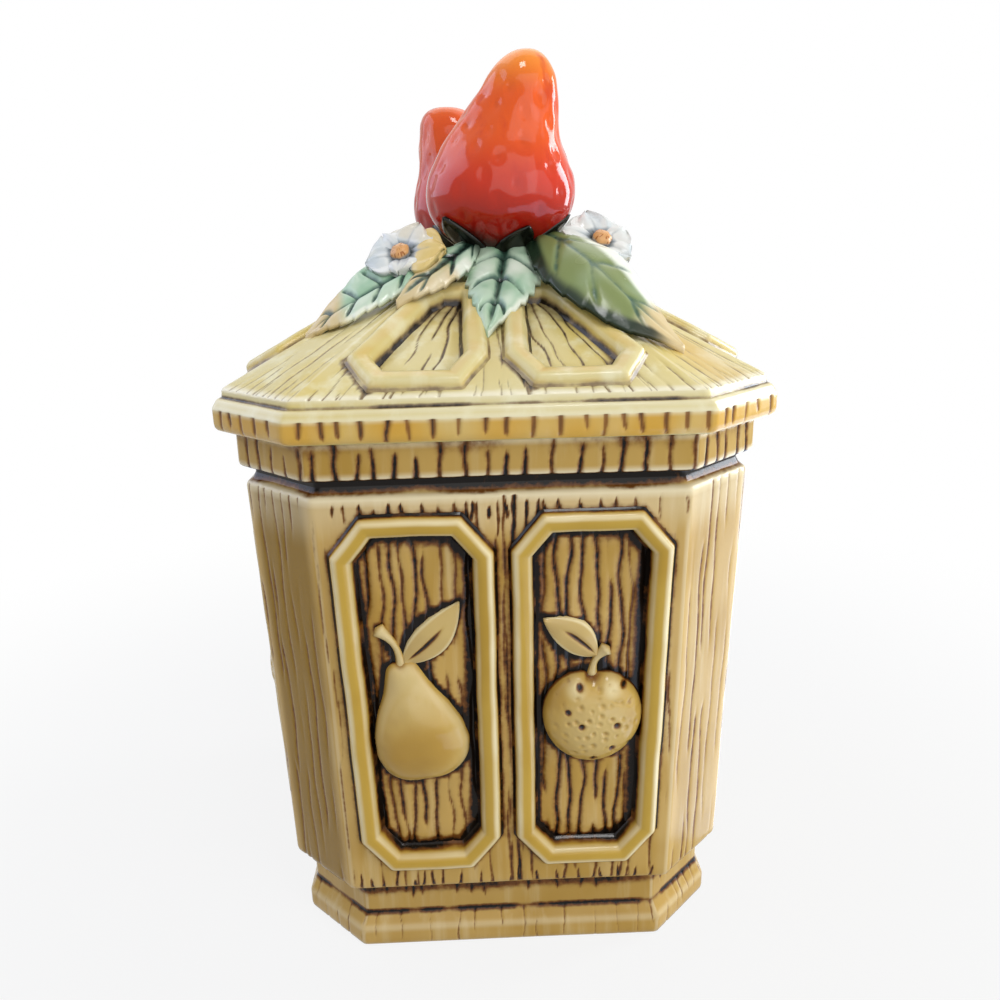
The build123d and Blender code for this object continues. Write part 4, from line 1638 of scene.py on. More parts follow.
@dataclass
class Lid:
    """Cast hipped lid: flange, brim, drip step and roof with sunk panels."""

    rng: Generator
    crown_half_width: float = 15.0
    lid_wall_drop: float = 6.84
    hollow_half_width: float = 56.4
    flange_half_width: float = 61.4
    flange_level: float = 152.0
    brim_level: float = 162.0
    brim_half_width: float = 77.0
    drip_level: float = 170.6
    eave_half_width: float = 74.3
    eave_level: float = 173.4
    roof_rise: float = 40.6
    panel_depth: float = 1.5
    panel_pillow: float = 0.6
    frame_bar: float = 6.6
    frame_gap: float = 4.4
    frame_side_margin: float = 4.4
    frame_low_margin: float = 3.0
    frame_length: float = 47.5
    frame_inner_cut: float = 6.8
    frame_outer_cut: float = 13.5
    frame_low_cut: float = 12.4
    frame_top_cut_width: float = 3.0
    frame_top_cut_height: float = 6.0
    corner_share: float = 0.295

    # Grain of the slopes and of their panels, and ticks along the eaves and the brim
    boards = GrainLines(
        4.8, 0.5, 0.3, depth=0.4, stain=0.58, sway=0.8, sway_length=42.0, presence=0.05, wash=0.16
    )
    planks = GrainLines(
        5.4, 0.4, 0.3, depth=0.5, stain=0.8, sway=1.4, sway_length=36.0, presence=0.6, wash=0.2
    )
    eave_ticks = TickBand(
        0.5, 13.0, 5.6, 0.55, 0.3, 0.35, 0.58, Anchor.BOTTOM, least=0.2, most=0.9, wash=0.16
    )
    brim_ticks = TickBand(
        162.3, 168.4, 5.4, 0.3, 0.5, 0.4, 0.9, Anchor.TOP, least=0.7, most=1.4, wash=0.46
    )

    @property
    def slope(self) -> float:
        """Rise of the roof for each millimetre inward."""
        return self.roof_rise / self.eave_half_width

    @property
    def slope_length(self) -> float:
        """Length of a slope from the eave to the apex."""
        return math.hypot(self.eave_half_width, self.roof_rise)

    @property
    def crown_level(self) -> float:
        """Height of the flat crown."""
        return self.eave_level + self.roof_rise - self.crown_half_width * self.slope

    @property
    def corner_run(self) -> float:
        """Distance of a corner eave from the middle axis."""
        return self.eave_half_width * (2.0 - self.corner_share) / math.sqrt(2.0)

    def face(self, angle: float) -> Face:
        """Place at the middle of the eave of a main slope."""
        lean = (self.roof_rise, self.eave_half_width)
        return outward_face(angle, self.eave_half_width, self.eave_level, lean)

    def roof_level(self, x: Array, y: Array, sharpness: float = 16.0) -> Array:
        """Height of the roof over plan points.

        Args:
            x: Places to the right.
            y: Places to the back.
            sharpness: How little its hips are rounded.

        Returns:
            The heights.
        """
        wide, deep = np.abs(x), np.abs(y)
        cut = (wide + deep) / (2.0 - self.corner_share)
        reach = (wide**sharpness + deep**sharpness + cut**sharpness) ** (1.0 / sharpness)
        reach = np.maximum(reach, self.crown_half_width)
        return self.eave_level + self.roof_rise - self.slope * reach

    def frame_outline(self, side: int) -> Array:
        """Outer corners of a roof frame.

        Args:
            side: -1 for the left one and 1 for the right one.

        Returns:
            Places across and up the face, anticlockwise.
        """
        foot = self.frame_low_margin
        foot_cut = foot + self.frame_low_cut
        head = foot + self.frame_length
        head_cut = head - self.frame_top_cut_height
        near = self.frame_gap / 2.0
        flat = self.eave_half_width * (1.0 - self.corner_share) - self.frame_side_margin
        climbs = (foot, foot_cut, head_cut, head)
        low, low_cut, high_cut, high = (flat * (1.0 - climb / self.slope_length) for climb in climbs)
        corners = [
            (near + self.frame_inner_cut, foot),
            (low - self.frame_outer_cut, foot),
            (low_cut, foot_cut),
            (high_cut, head_cut),
            (high - self.frame_top_cut_width, head),
            (near + self.frame_top_cut_width, head),
            (near, head_cut),
            (near, foot_cut),
        ]
        return mirrored(corners, side)

    @staticmethod
    def low_left_edge(outline: Array) -> Array:
        """Edge of an outline that looks down and to the left, along which a shadow is painted.

        Args:
            outline: Corners, anticlockwise.

        Returns:
            The two ends of the edge.
        """
        ahead = np.roll(outline, -1, axis=0)
        ways = unit(ahead - outline)
        number = int(np.argmax(ways[:, 0] - ways[:, 1]))
        return np.stack([outline[number], ahead[number]])

    def profile(self) -> Profile:
        """Lists the corners of the lid's profile.

        Returns:
            Its rows, from the middle of its hollow round to the middle of its crown.
        """
        hollow_top = self.crown_level - self.lid_wall_drop
        hollow_foot = hollow_top - (self.hollow_half_width - self.crown_half_width) * self.slope
        corners = [
            Corner(0.6, hollow_top, 0.0, 10.0, Zone.INSIDE),
            Corner(self.crown_half_width, hollow_top, 3.0, 9.0, Zone.INSIDE),
            Corner(self.hollow_half_width, hollow_foot, 3.0, 8.0, Zone.INSIDE),
            Corner(self.hollow_half_width, self.flange_level, 1.5, 3.0, Zone.FLANGE),
            Corner(self.flange_half_width, self.flange_level, 1.5, 4.0, Zone.FLANGE),
            Corner(self.flange_half_width, self.brim_level, 0.8, 5.0, Zone.FLANGE),
            Corner(self.brim_half_width, self.brim_level, 2.4, 0.9, Zone.BRIM),
            Corner(self.brim_half_width, self.drip_level - 2.2, 2.0, 0.8, Zone.DRIP),
            Corner(self.brim_half_width - 1.2, self.drip_level, 1.2, 0.8, Zone.DRIP),
            Corner(self.eave_half_width + 0.2, self.drip_level + 0.5, 0.35, 0.9, Zone.DRIP),
            Corner(self.eave_half_width, self.eave_level, 1.3, 1.4, Zone.ROOF),
            Corner(self.crown_half_width, self.crown_level, 2.0, 7.0, Zone.CROWN),
            Corner(0.6, self.crown_level, 0.0, 7.0, Zone.CROWN),
        ]
        return Profile(corners, arc_rows=5)

    def carve_slope(self, shell: Shell, name: str) -> None:
        """Cuts the grain of a slope and, on a main one, its two sunk panels, with painted shade along their
        right edges and a painted shadow beside each frame's lower left edge.

        Args:
            shell: Surface to carve.
            name: Side that it is on.
        """
        main = name in WALLS
        patch = shell.patch(name, Zone.ROOF)
        across = shell.across[patch]
        shrink = shell.profile.half_width[patch[0]] / self.eave_half_width + 0.0 * across
        run = self.slope_length if main else math.hypot(self.corner_run, self.roof_rise)
        climb = (1.0 - shrink) * run
        wide = across / shrink
        reach = self.eave_half_width * shell.plan.side_share(name)
        cuts = [self.boards.cut(self.rng, wide, climb, (-reach, reach), shrink)]
        cuts.append(self.eave_ticks.cut(self.rng, wide, climb, reach))
        depth, stain = (np.maximum.reduce(values) for values in zip(*cuts))
        rise = -depth
        for side in COLUMNS.values() if main else ():
            outline = self.frame_outline(side)
            inside = inner_distance(outline, across, climb)
            field = inside - self.frame_bar
            span = tuple(sorted((side * 2.0, side * 52.0)))
            plank_depth, plank_stain = self.planks.cut(self.rng, wide, climb, span, shrink)
            sink = self.panel_depth - self.panel_pillow * soft_step(0.4, 4.5, field)
            sunk = soft_step(1.4, 4.8, inside)
            rise = rise * (1.0 - sunk) - sunk * (sink + plank_depth)
            pool = Mottle(self.rng, 24.0).at(across, climb)
            lean = (across - outline[:, 0].mean()) / np.ptp(outline[:, 0])
            # Stain pooled along each panel's inner edge, widened towards its right side as painted shade
            pool_and_shade_width = np.maximum(0.9 + 2.6 * lean + 0.7 * pool, 0.35)
            edge_pool_and_shade = 1.0 - soft_step(0.0, 1.0, (field - 0.3) / pool_and_shade_width)
            panel_stain = over(over(plank_stain, 0.7 * edge_pool_and_shade), 0.3 * soft_step(26.0, 40.0, climb))
            # Painted shadow of the frame beside its lower left edge
            painted_shadow_gap = line_distance(self.low_left_edge(outline), across, climb)
            outer = over(0.3 * np.exp(-np.maximum(-inside, 0.0) / 0.9), 0.85 * bell(painted_shadow_gap / 1.5))
            stain = np.where(inside > 0.0, panel_stain, over(stain, outer))
        shell.carve(patch, rise, stain)

    def marks(self, shell: Shell, flow: Array) -> dict[str, Array]:
        """Where the glaze runs thin, where it gathers and where the clay is bare.

        Args:
            shell: The carved lid.
            flow: Unevenness of the gathered glaze.

        Returns:
            The marks.
        """
        rows, level = shell.rows, shell.level
        outside = rows(Zone.BRIM, Zone.DRIP, Zone.ROOF)
        ridge = np.maximum(shell.profile.ridge[:, None], 0.7 * shell.corner) * outside
        face = soft_step(self.drip_level - 0.4, self.drip_level - 3.8, level) * rows(Zone.BRIM)
        ridge = ridge * (1.0 - 0.65 * face) * (1.0 - 0.4 * rows(Zone.DRIP))
        middle = soft_step(1.0, 0.3, shell.facet_share) * (shell.side == SIDES.index("front_right"))
        amber = np.maximum(face * flow, 0.6 * flow * rows(Zone.ROOF) * middle)
        bare = rows(Zone.FLANGE) * (level < self.flange_level + 0.4)
        return {"ridge": ridge, "amber": amber, "bare": bare}

    def build(self) -> None:
        """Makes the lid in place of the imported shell."""
        plan = OctagonPlan(self.corner_share, main_columns=220, corner_columns=58, edge_radius=2.2)
        shell = Shell(self.profile(), plan)
        for name in SIDES:
            self.carve_slope(shell, name)
        brown = np.zeros(shell.stain.shape)
        shell.cut_ticks(self.rng, {(Zone.BRIM,): self.brim_ticks}, brown)
        patchy = 0.5 + 0.5 * soft_step(-0.4, 0.3, Wobble(self.rng, 55.0).at(shell.around))
        inward = shell.profile.half_width[:, None] - self.eave_half_width - 0.2
        step = bell(np.hypot(inward, shell.level - self.drip_level - 0.5) / 0.75)
        shell.darken(0.85 * step * patchy)
        cast = Mottle(self.rng, 55.0).at(shell.around, 1.6 * shell.level)
        shell.rise += 0.14 * cast * shell.rows(Zone.BRIM, Zone.DRIP, Zone.ROOF)
        flow = 0.8 + 0.3 * Mottle(self.rng, 20.0).at(shell.around, shell.level)
        form = shell.form({**self.marks(shell, flow), "brown": brown})
        make_piece(form, "lid_casting", LID_GLAZE, Body.LID, "lid_shell")


@dataclass
class PanelFrames:
    """Moulded frames round sunk panels, two on each main face of what carries them."""

    rng: Generator
    carrier: Tub | Lid
    height: float
    side_height: float
    corner_radius: float
    outer_stain: float
    cream: float
    gold: float

    # Waves of the outline, the height and the stain, and the length of the loop that they run round
    wave_lengths = (42.0, 30.0, 23.0)
    loop_length = 252.0

    # Length of the pieces of a straight bar, and points on a corner
    piece_length = 2.6
    arc_points = 5

    def form(self, outline: Array, top: float) -> Form:
        """Frame on a flat face, with a pooled line of stain at its outer and inner feet.

        Args:
            outline: Outer corners on the face, anticlockwise.
            top: Height of the bar.

        Returns:
            The frame, in distances across, up and out of the face.
        """
        bar, floor = self.carrier.frame_bar, self.carrier.panel_depth
        # Section of the bar from its outer to its inner foot: inset, rise, stain and cream
        section = [
            (-0.9, -1.0, 0.75, 0.0),
            (-0.55, 0.1, 0.95, 0.0),
            (0.0, 0.3, 1.0, 0.0),
            (0.25, 0.42 * top, 0.4, 0.1),
            (0.09 * bar, 0.7 * top, 0.05, 0.5),
            (0.2 * bar, 0.9 * top, 0.0, 0.9),
            (0.31 * bar, top, 0.0, 0.6),
            (0.42 * bar, 0.99 * top, 0.0, 0.12),
            (0.58 * bar, 0.95 * top, 0.0, 0.0),
            (0.72 * bar, 0.87 * top, 0.0, 0.08),
            (0.83 * bar, 0.72 * top, 0.0, 0.6),
            (0.91 * bar, 0.45 * top, 0.02, 0.6),
            (bar - 0.12, 0.05 * top, 0.35, 0.1),
            (bar + 0.15, -0.72 * floor, 0.95, 0.0),
            (bar + 0.8, -0.98 * floor, 1.0, 0.0),
            (bar + 1.3, -floor - 1.0, 0.9, 0.0),
        ]
        ways = np.roll(outline, -1, axis=0) - outline
        counts = [max(2, round(float(np.linalg.norm(way)) / self.piece_length)) for way in ways]
        wander, lift, blotch = (Wobble(self.rng, wave) for wave in self.wave_lengths)
        rings = []
        marks = {"stain": [], "ridge": [], "amber": []}
        for inset, rise, stain, ridge in section:
            round_share = 1.0 - 0.45 * max(inset, 0.0) / bar
            radius = self.corner_radius * round_share
            ring = inset_outline(outline, inset, radius, counts, self.arc_points)
            run = np.cumsum(np.linalg.norm(np.diff(ring, axis=0, prepend=ring[-1:]), axis=1))
            run = run / run[-1] * self.loop_length
            ring = ring + unit(ring - ring.mean(axis=0)) * (0.16 * wander.at(run))[:, None]
            height = rise + (0.07 * lift.at(run) if rise > 0.5 else 0.0)
            rings.append(points_of(ring[:, 0], ring[:, 1], height))
            kept = self.outer_stain if inset < 0.5 * bar else 1.0
            marks["stain"].append(np.clip(stain * kept * (0.9 + 0.3 * blotch.at(run)), 0.0, 1.0))
            marks["ridge"].append(self.cream * ridge * (0.9 + 0.15 * blotch.at(run + 60.0)))
            marks["amber"].append(self.gold * (1.0 - ridge) * (0.8 + 0.3 * blotch.at(run + 25.0)))
        points = np.array(rings)
        painted = {name: np.concatenate(values) for name, values in marks.items()}
        return Form(points.reshape(-1, 3), [grid_quads(*points.shape[:2], True, True)], painted)

    def make(self, prefix: str, stem: str, glaze: Glaze, body: Body, slot: str) -> None:
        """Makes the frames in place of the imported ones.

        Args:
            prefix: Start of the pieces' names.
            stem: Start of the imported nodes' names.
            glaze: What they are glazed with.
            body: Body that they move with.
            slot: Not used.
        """
        for wall, angle in WALLS.items():
            top = self.side_height if wall in ("left", "right") else self.height
            for column, side in COLUMNS.items():
                form = self.form(self.carrier.frame_outline(side), top).placed(self.carrier.face(angle))
                node = f"{stem}_{wall}_{column}"
                make_piece(form, f"{prefix}_{node}", glaze, body, node)


@dataclass
class DoorFrames(PanelFrames):
    """Frames round the eight door panels, lower on the side walls."""

    height: float = 3.0
    side_height: float = 1.4
    corner_radius: float = 1.7
    outer_stain: float = 1.0
    cream: float = 1.0
    gold: float = 0.0

    def build(self) -> None:
        """Makes the door frames."""
        self.make("door", "frame", FRAME_GLAZE, Body.CANISTER, "tub_glaze")


@dataclass
class RoofFrames(PanelFrames):
    """Frames round the eight roof panels."""

    height: float = 2.6
    side_height: float = 2.6
    corner_radius: float = 1.5
    outer_stain: float = 0.5
    cream: float = 0.5
    gold: float = 0.4

    def build(self) -> None:
        """Makes the roof frames."""
        self.make("moulded", "roof_frame", LID_GLAZE, Body.LID, "lid_glaze")


@dataclass(frozen=True)
class Berry:
    """One strawberry: where it stands and how it is shaped."""

    name: str
    x: float
    y: float
    height: float
    radius: float
    shift: float
    dimple: float
    fullness: float = 1.0
    ripeness: float = 1.0


@dataclass
class Berries:
    """Two strawberries on the crown of the roof, with the sepals round their feet."""

    rng: Generator
    lid: Lid
    sink: float = 1.5
    depth_share: float = 0.9
    sepal_thickness: float = 1.0
    seeds: int = 76
    rings: int = 118
    spokes: int = 156

    berries = (
        Berry("front", 3.4, -15.0, height=58.0, radius=22.0, shift=8.4, dimple=0.52),
        Berry("rear", -4.0, 20.0, 47.5, 20.0, -8.4, dimple=0.5, fullness=0.8, ripeness=0.85),
    )

    # Turn of each sepal round its berry in degrees, and how far up the berry it reaches
    sepals = {-76.0: 0.205, -26.0: 0.25, 24.0: 0.2, 74.0: 0.22, 124.0: 0.2, 171.0: 0.22, 218.0: 0.25}

    # Level, radius and sideways shift up a berry, as shares of its height, radius and shift
    knots = (
        (0.0, 0.25, 0.0), (0.04, 0.42, 0.0),
        (0.09, 0.61, 0.0), (0.15, 0.8, 0.0),
        (0.22, 0.94, 0.0), (0.305, 1.0, 0.0),
        (0.39, 0.98, 0.025), (0.475, 0.9, 0.07),
        (0.565, 0.79, 0.14), (0.65, 0.69, 0.31),
        (0.735, 0.6, 0.5), (0.81, 0.51, 0.68),
        (0.88, 0.435, 0.82), (0.935, 0.345, 0.9),
        (0.972, 0.245, 0.95), (0.993, 0.14, 0.98),
        (1.0, 0.03, 1.0),
    )

    @property
    def foot_level(self) -> float:
        """Height of the berries' feet, which sink into the crown."""
        return self.lid.crown_level - self.sink

    def surface(self, berry: Berry, share: Array, turns: Array) -> Array:
        """Points on the smooth skin of a berry.

        Args:
            berry: Which berry.
            share: Place along its knots from 0 to 1.
            turns: Turn round its axis.

        Returns:
            Points in space.
        """
        level, radius, shift = np.array(self.knots).T
        reach = np.clip(curve(radius, share), 0.0, None) ** berry.fullness * berry.radius
        x = berry.x + berry.shift * curve(shift, share) + reach * np.cos(turns)
        y = berry.y + reach * self.depth_share * np.sin(turns)
        return points_of(x, y, self.foot_level + berry.height * curve(level, share))

    def skin(self, berry: Berry) -> Form:
        """Closed berry with dimples round its seeds.

        Args:
            berry: Which berry.

        Returns:
            The berry.
        """
        share = np.linspace(0.0, 0.985, self.rings)[:, None]
        turns = even_turns(self.spokes)[None, :]
        points = self.surface(berry, share, turns)
        tall = (points[..., 2] - self.foot_level) / berry.height
        lumps = Mottle(self.rng, 21.0).at(turns * berry.radius, points[..., 2])
        relief = 0.45 * lumps * soft_step(0.0, 0.2, tall) * soft_step(1.0, 0.85, tall)
        stain = np.zeros(tall.shape)
        for seed in range(self.seeds):
            height = 0.14 + 0.72 * (seed + 0.5) / self.seeds
            turn = (seed * GOLDEN_TURN + self.rng.uniform(-0.15, 0.15)) % FULL_TURN
            ring = np.abs(tall[:, 0] - height).argmin()
            gap = points - self.surface(berry, share[ring], np.array([turn]))[0]
            upright, flat = gap[..., 2], np.hypot(gap[..., 0], gap[..., 1])
            wide = self.rng.uniform(0.85, 1.15)
            dent = bell(upright / (2.1 * wide), flat / (1.35 * wide))
            pip = bell((upright + 0.4) / 0.9, flat / 0.5)
            relief += berry.dimple * (0.45 * pip - dent)
            stain = np.maximum(stain, 0.5 * dent * self.rng.uniform(0.2, 1.0))
        shaped = points + grid_normals(points) * relief[..., None]
        tip = self.surface(berry, np.array([1.0]), np.array([0.0]))[0]
        # Painted shade at the berry's foot, between the sepals
        shade = soft_step(0.19, 0.05, tall + 0.03 * lumps)
        marks = {"ripe": berry.ripeness * tall, "stain": stain, "shade": shade}
        return dome(shaped, tip, marks, {"ripe": berry.ripeness})

    def calyx(self, berry: Berry) -> Form:
        """All the pointed sepals that hug the foot of a berry.

        Args:
            berry: Which berry.

        Returns:
            The sepals as one form.
        """
        whole = None
        along = np.linspace(0.0, 1.0, 16)[:, None]
        wide = np.linspace(-1.0, 1.0, 9)[None, :]
        vein = bell(wide / 0.16)
        rise = self.sepal_thickness * (0.75 + 0.5 * along) * (1.0 - 0.45 * wide**2) - 0.35 * vein
        edge = bell((1.0 - np.abs(wide)) / 0.22) * along
        marks = {"stain": over(0.8 * vein, 0.9 * (1.0 - along) ** 2), "ridge": 0.3 * edge}
        reach = 0.6 * (1.0 - along**1.8) ** 0.9 + 0.01
        for turn, top in self.sepals.items():
            bend = 0.16 * self.rng.uniform(-1.0, 1.0) * along**2
            skin = self.surface(berry, top * along, math.radians(turn) + bend + reach * wide)
            away = skin - np.array([berry.x, berry.y, 0.0])
            away[..., 2] = -3.0
            away = unit(away)
            sepal = slab(skin + away * rise[..., None], skin - away * 0.8, marks)
            whole = sepal if whole is None else whole.joined(sepal)
        return whole

    def build(self) -> None:
        """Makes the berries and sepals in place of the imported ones."""
        for berry in self.berries:
            name = berry.name
            skin = self.skin(berry)
            make_piece(skin, f"berry_{name}", BERRY_GLAZE, Body.LID, f"strawberry_{name}")
            calyx = self.calyx(berry)
            make_piece(calyx, f"sepals_{name}", SEPAL_GLAZE, Body.LID, f"calyx_{name}")


@dataclass(frozen=True)
class Leaf:
    """One leaf on the roof. Its path is in plan; rows of five run from its stalk to its tip."""

    name: str
    path: tuple[tuple[float, float], tuple[float, float], tuple[float, float]]
    left: tuple[float, ...]
    right: tuple[float, ...]
    left_lift: tuple[float, ...]
    rib_lift: tuple[float, ...]
    right_lift: tuple[float, ...]
    veins: int
    tone: float
    tan: float
    puff: float
    tan_from: float = 0.68
    # Painted shade along the leaf's right edge
    painted_shade_edge: float = 0.0
    # Painted highlight along the leaf's left edge
    painted_highlight_edge: float = 0.35
    teeth: float = 0.09


@dataclass
class Foliage:
    """Serrated, veined leaves laid over the roof round the berries."""

    rng: Generator
    lid: Lid
    thickness: float = 2.4
    rows: int = 96
    columns: int = 49

    leaves = (
        Leaf(
            "front",
            ((4.5, -20.0), (3.0, -36.0), (-2.2, -53.0)),
            left=(6.0, 11.4, 10.0, 6.0, 0.3), right=(6.0, 10.4, 9.6, 6.0, 0.3),
            left_lift=(7.0, 5.0, 4.2, 3.4, 2.2), rib_lift=(8.0, 6.8, 5.4, 4.2, 2.4),
            right_lift=(7.0, 5.0, 4.2, 3.4, 2.2), veins=4, tone=0.25, tan=0.35, puff=1.5,
        ),
        Leaf(
            "front_right",
            ((14.5, -20.0), (25.0, -46.0), (50.6, -55.3)),
            left=(5.0, 11.5, 12.5, 8.5, 0.4), right=(5.0, 9.5, 10.5, 7.5, 0.4),
            left_lift=(10.5, 13.6, 13.2, 8.4, 2.2), rib_lift=(10.5, 13.6, 12.6, 7.8, 2.2),
            right_lift=(8.5, 8.5, 7.5, 4.6, 1.8), veins=4, tone=0.95, tan=0.95, puff=0.4, painted_shade_edge=1.0,
            painted_highlight_edge=0.9, teeth=0.045,
        ),
        Leaf(
            "front_left",
            ((-18.0, -27.0), (-35.0, -37.0), (-53.2, -37.6)),
            left=(3.0, 5.5, 6.0, 4.6, 0.4), right=(6.0, 11.5, 10.5, 6.5, 0.4),
            left_lift=(5.2, 4.4, 3.4, 2.6, 1.8), rib_lift=(7.0, 6.4, 5.4, 4.2, 2.0),
            right_lift=(7.0, 9.5, 10.0, 7.2, 2.2), veins=5, tone=0.0, tan=0.9, puff=0.9, tan_from=0.58,
        ),
        Leaf(
            "small",
            ((-5.0, -24.0), (-14.0, -35.0), (-26.8, -41.8)),
            left=(2.6, 5.0, 5.2, 3.8, 0.3), right=(2.6, 4.6, 4.8, 3.6, 0.3),
            left_lift=(8.0, 7.4, 6.6, 5.6, 4.0), rib_lift=(9.5, 9.0, 8.0, 6.8, 4.6),
            right_lift=(8.5, 8.6, 7.6, 6.4, 4.4), veins=3, tone=0.0, tan=0.85, puff=0.5, tan_from=0.3,
            painted_highlight_edge=0.9,
        ),
        Leaf(
            "back",
            ((-3.0, 26.0), (-4.0, 44.0), (-1.0, 60.0)),
            left=(6.0, 11.0, 10.0, 6.0, 0.3), right=(6.0, 11.0, 10.0, 6.0, 0.3),
            left_lift=(6.0, 4.8, 4.2, 3.4, 2.2), rib_lift=(8.0, 6.8, 5.4, 4.2, 2.4),
            right_lift=(6.0, 4.8, 4.2, 3.4, 2.2), veins=5, tone=0.15, tan=0.35, puff=1.0,
        ),
        Leaf(
            "back_left",
            ((-16.0, 16.0), (-37.0, 33.0), (-53.2, 53.6)),
            left=(6.0, 13.0, 13.5, 8.5, 0.4), right=(6.0, 13.0, 13.5, 8.5, 0.4),
            left_lift=(6.0, 5.4, 4.8, 3.6, 1.8), rib_lift=(8.0, 9.0, 8.0, 5.6, 2.2),
            right_lift=(6.0, 5.4, 4.8, 3.6, 1.8), veins=5, tone=0.7, tan=0.8, puff=0.6, painted_shade_edge=0.5,
        ),
        Leaf(
            "back_right",
            ((16.0, 16.0), (33.0, 37.0), (53.2, 53.6)),
            left=(6.0, 13.0, 13.5, 8.5, 0.4), right=(6.0, 13.0, 13.5, 8.5, 0.4),
            left_lift=(6.0, 5.2, 4.6, 3.6, 1.8), rib_lift=(8.0, 8.2, 7.2, 5.2, 2.2),
            right_lift=(6.0, 5.2, 4.6, 3.6, 1.8), veins=6, tone=0.05, tan=0.8, puff=0.9,
        ),
    )

    def form(self, leaf: Leaf) -> Form:
        """One closed leaf, bent over the roof.

        Args:
            leaf: Which leaf.

        Returns:
            The leaf.
        """
        along = np.linspace(0.0, 1.0, self.rows)[:, None]
        wide = np.sin(np.linspace(-math.pi / 2.0, math.pi / 2.0, self.columns))[None, :]
        inner = np.abs(wide)
        rib_line = rounded(*(np.array(place) for place in leaf.path), self.rows)
        ahead = unit(np.gradient(rib_line, axis=0))
        half = np.where(wide < 0.0, curve(leaf.left, along), curve(leaf.right, along))
        saw = np.mod(along * (2.0 * leaf.veins + 1.0), 1.0)
        tooth = leaf.teeth * (1.6 * saw - 0.8) * soft_step(0.04, 0.2, along) * inner**5
        out = wide * half * (1.0 + tooth)
        x = rib_line[:, :1] + ahead[:, 1:] * out
        y = rib_line[:, 1:] - ahead[:, :1] * out
        rib_lift = curve(leaf.rib_lift, along)
        edge_lift = np.where(wide < 0.0, curve(leaf.left_lift, along), curve(leaf.right_lift, along))
        lift = rib_lift + (edge_lift - rib_lift) * inner**1.5
        slant = along * leaf.veins - 0.8 * inner * (1.0 - 0.3 * along) + 0.15
        vein_gap = 1.0 - np.abs(np.mod(slant, 1.0) - 0.5) * 2.0
        side_vein = bell(vein_gap / 0.17) * soft_step(1.0, 0.7, inner)
        rib = bell(wide * half / (1.35 - 0.7 * along)) * soft_step(1.0, 0.85, along)
        swell = np.sin(math.pi * np.clip(inner, 0.0, 1.0)) ** 0.7
        pillow = leaf.puff * (1.0 - side_vein) * (1.0 - rib) * swell * soft_step(1.0, 0.8, along)
        wave = 0.35 * Wobble(self.rng, 0.4).at(along) * inner**3
        height = lift + pillow - leaf.puff * (0.4 * side_vein + 0.7 * rib) + wave
        top = points_of(x, y, self.lid.roof_level(x, y) + height)
        under = top.copy()
        under[..., 2] -= self.thickness * (1.0 - 0.5 * inner**4)
        blot = 0.5 + 0.5 * Mottle(self.rng, 12.0).at(x, y)
        near = soft_step(-0.1, 0.3, wide)
        # Cream where the glaze was wiped off the rim, and a painted highlight along the leaf's left edge
        light = 0.7 * bell((1.0 - inner) / 0.1) * blot * (1.0 - leaf.painted_shade_edge * near)
        light = leaf.painted_highlight_edge * soft_step(0.3, 0.75, -wide) + light
        # Painted shade along the leaf's right edge
        start = 0.62 - 0.35 * soft_step(0.4, 0.0, along) - 0.2 * soft_step(0.55, 0.85, along) + 0.1 * blot
        dark = leaf.painted_shade_edge * soft_step(0.0, 0.35, wide - start)
        vein = over(0.95 * rib * (1.0 - 0.45 * along), 0.9 * side_vein * (0.5 + 0.5 * blot))
        beside = bell(vein_gap / 0.45) * soft_step(1.0, 0.6, inner)
        beside = np.maximum(beside, bell(wide * half / (3.2 - 1.6 * along)))
        vein = over(vein, 0.34 * beside * blot) * (1.0 - 0.45 * leaf.tone)
        tone = leaf.tone * (0.7 + 0.3 * blot) * np.maximum(soft_step(0.95, 0.55, inner), near)
        pale = np.clip(np.maximum(light, 0.5 * pillow * blot), 0.0, 1.0)
        before_tip = soft_step(1.0, 0.82, along)
        marks = {
            "stain": vein * before_tip,
            # Painted shade at the leaf's root under the berry, over the painted shade of its right edge
            "shade": over(dark, 0.8 * soft_step(0.22, 0.0, along)) * before_tip,
            "ridge": pale * soft_step(0.1, 0.3, along),
            "tone": tone * soft_step(0.95, 0.7, along),
            "tip": leaf.tan * soft_step(leaf.tan_from, leaf.tan_from + 0.2, along) * (0.7 + 0.3 * blot),
        }
        return slab(top, under, marks)

    def build(self) -> None:
        """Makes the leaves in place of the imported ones."""
        for leaf in self.leaves:
            name, node = f"roof_leaf_{leaf.name}", f"leaf_{leaf.name}"
            make_piece(self.form(leaf), name, LEAF_GLAZE, Body.LID, node)


@dataclass(frozen=True)
class Petal:
    """One petal: its turn round the button, its length and how cream it is."""

    turn: float
    length: float
    cream: float = 0.0


@dataclass(frozen=True)
class Blossom:
    """One blossom: its middle, which way it faces, and its petals."""

    name: str
    middle: tuple[float, float, float]
    facing: tuple[float, float, float]
    petals: tuple[Petal, ...]


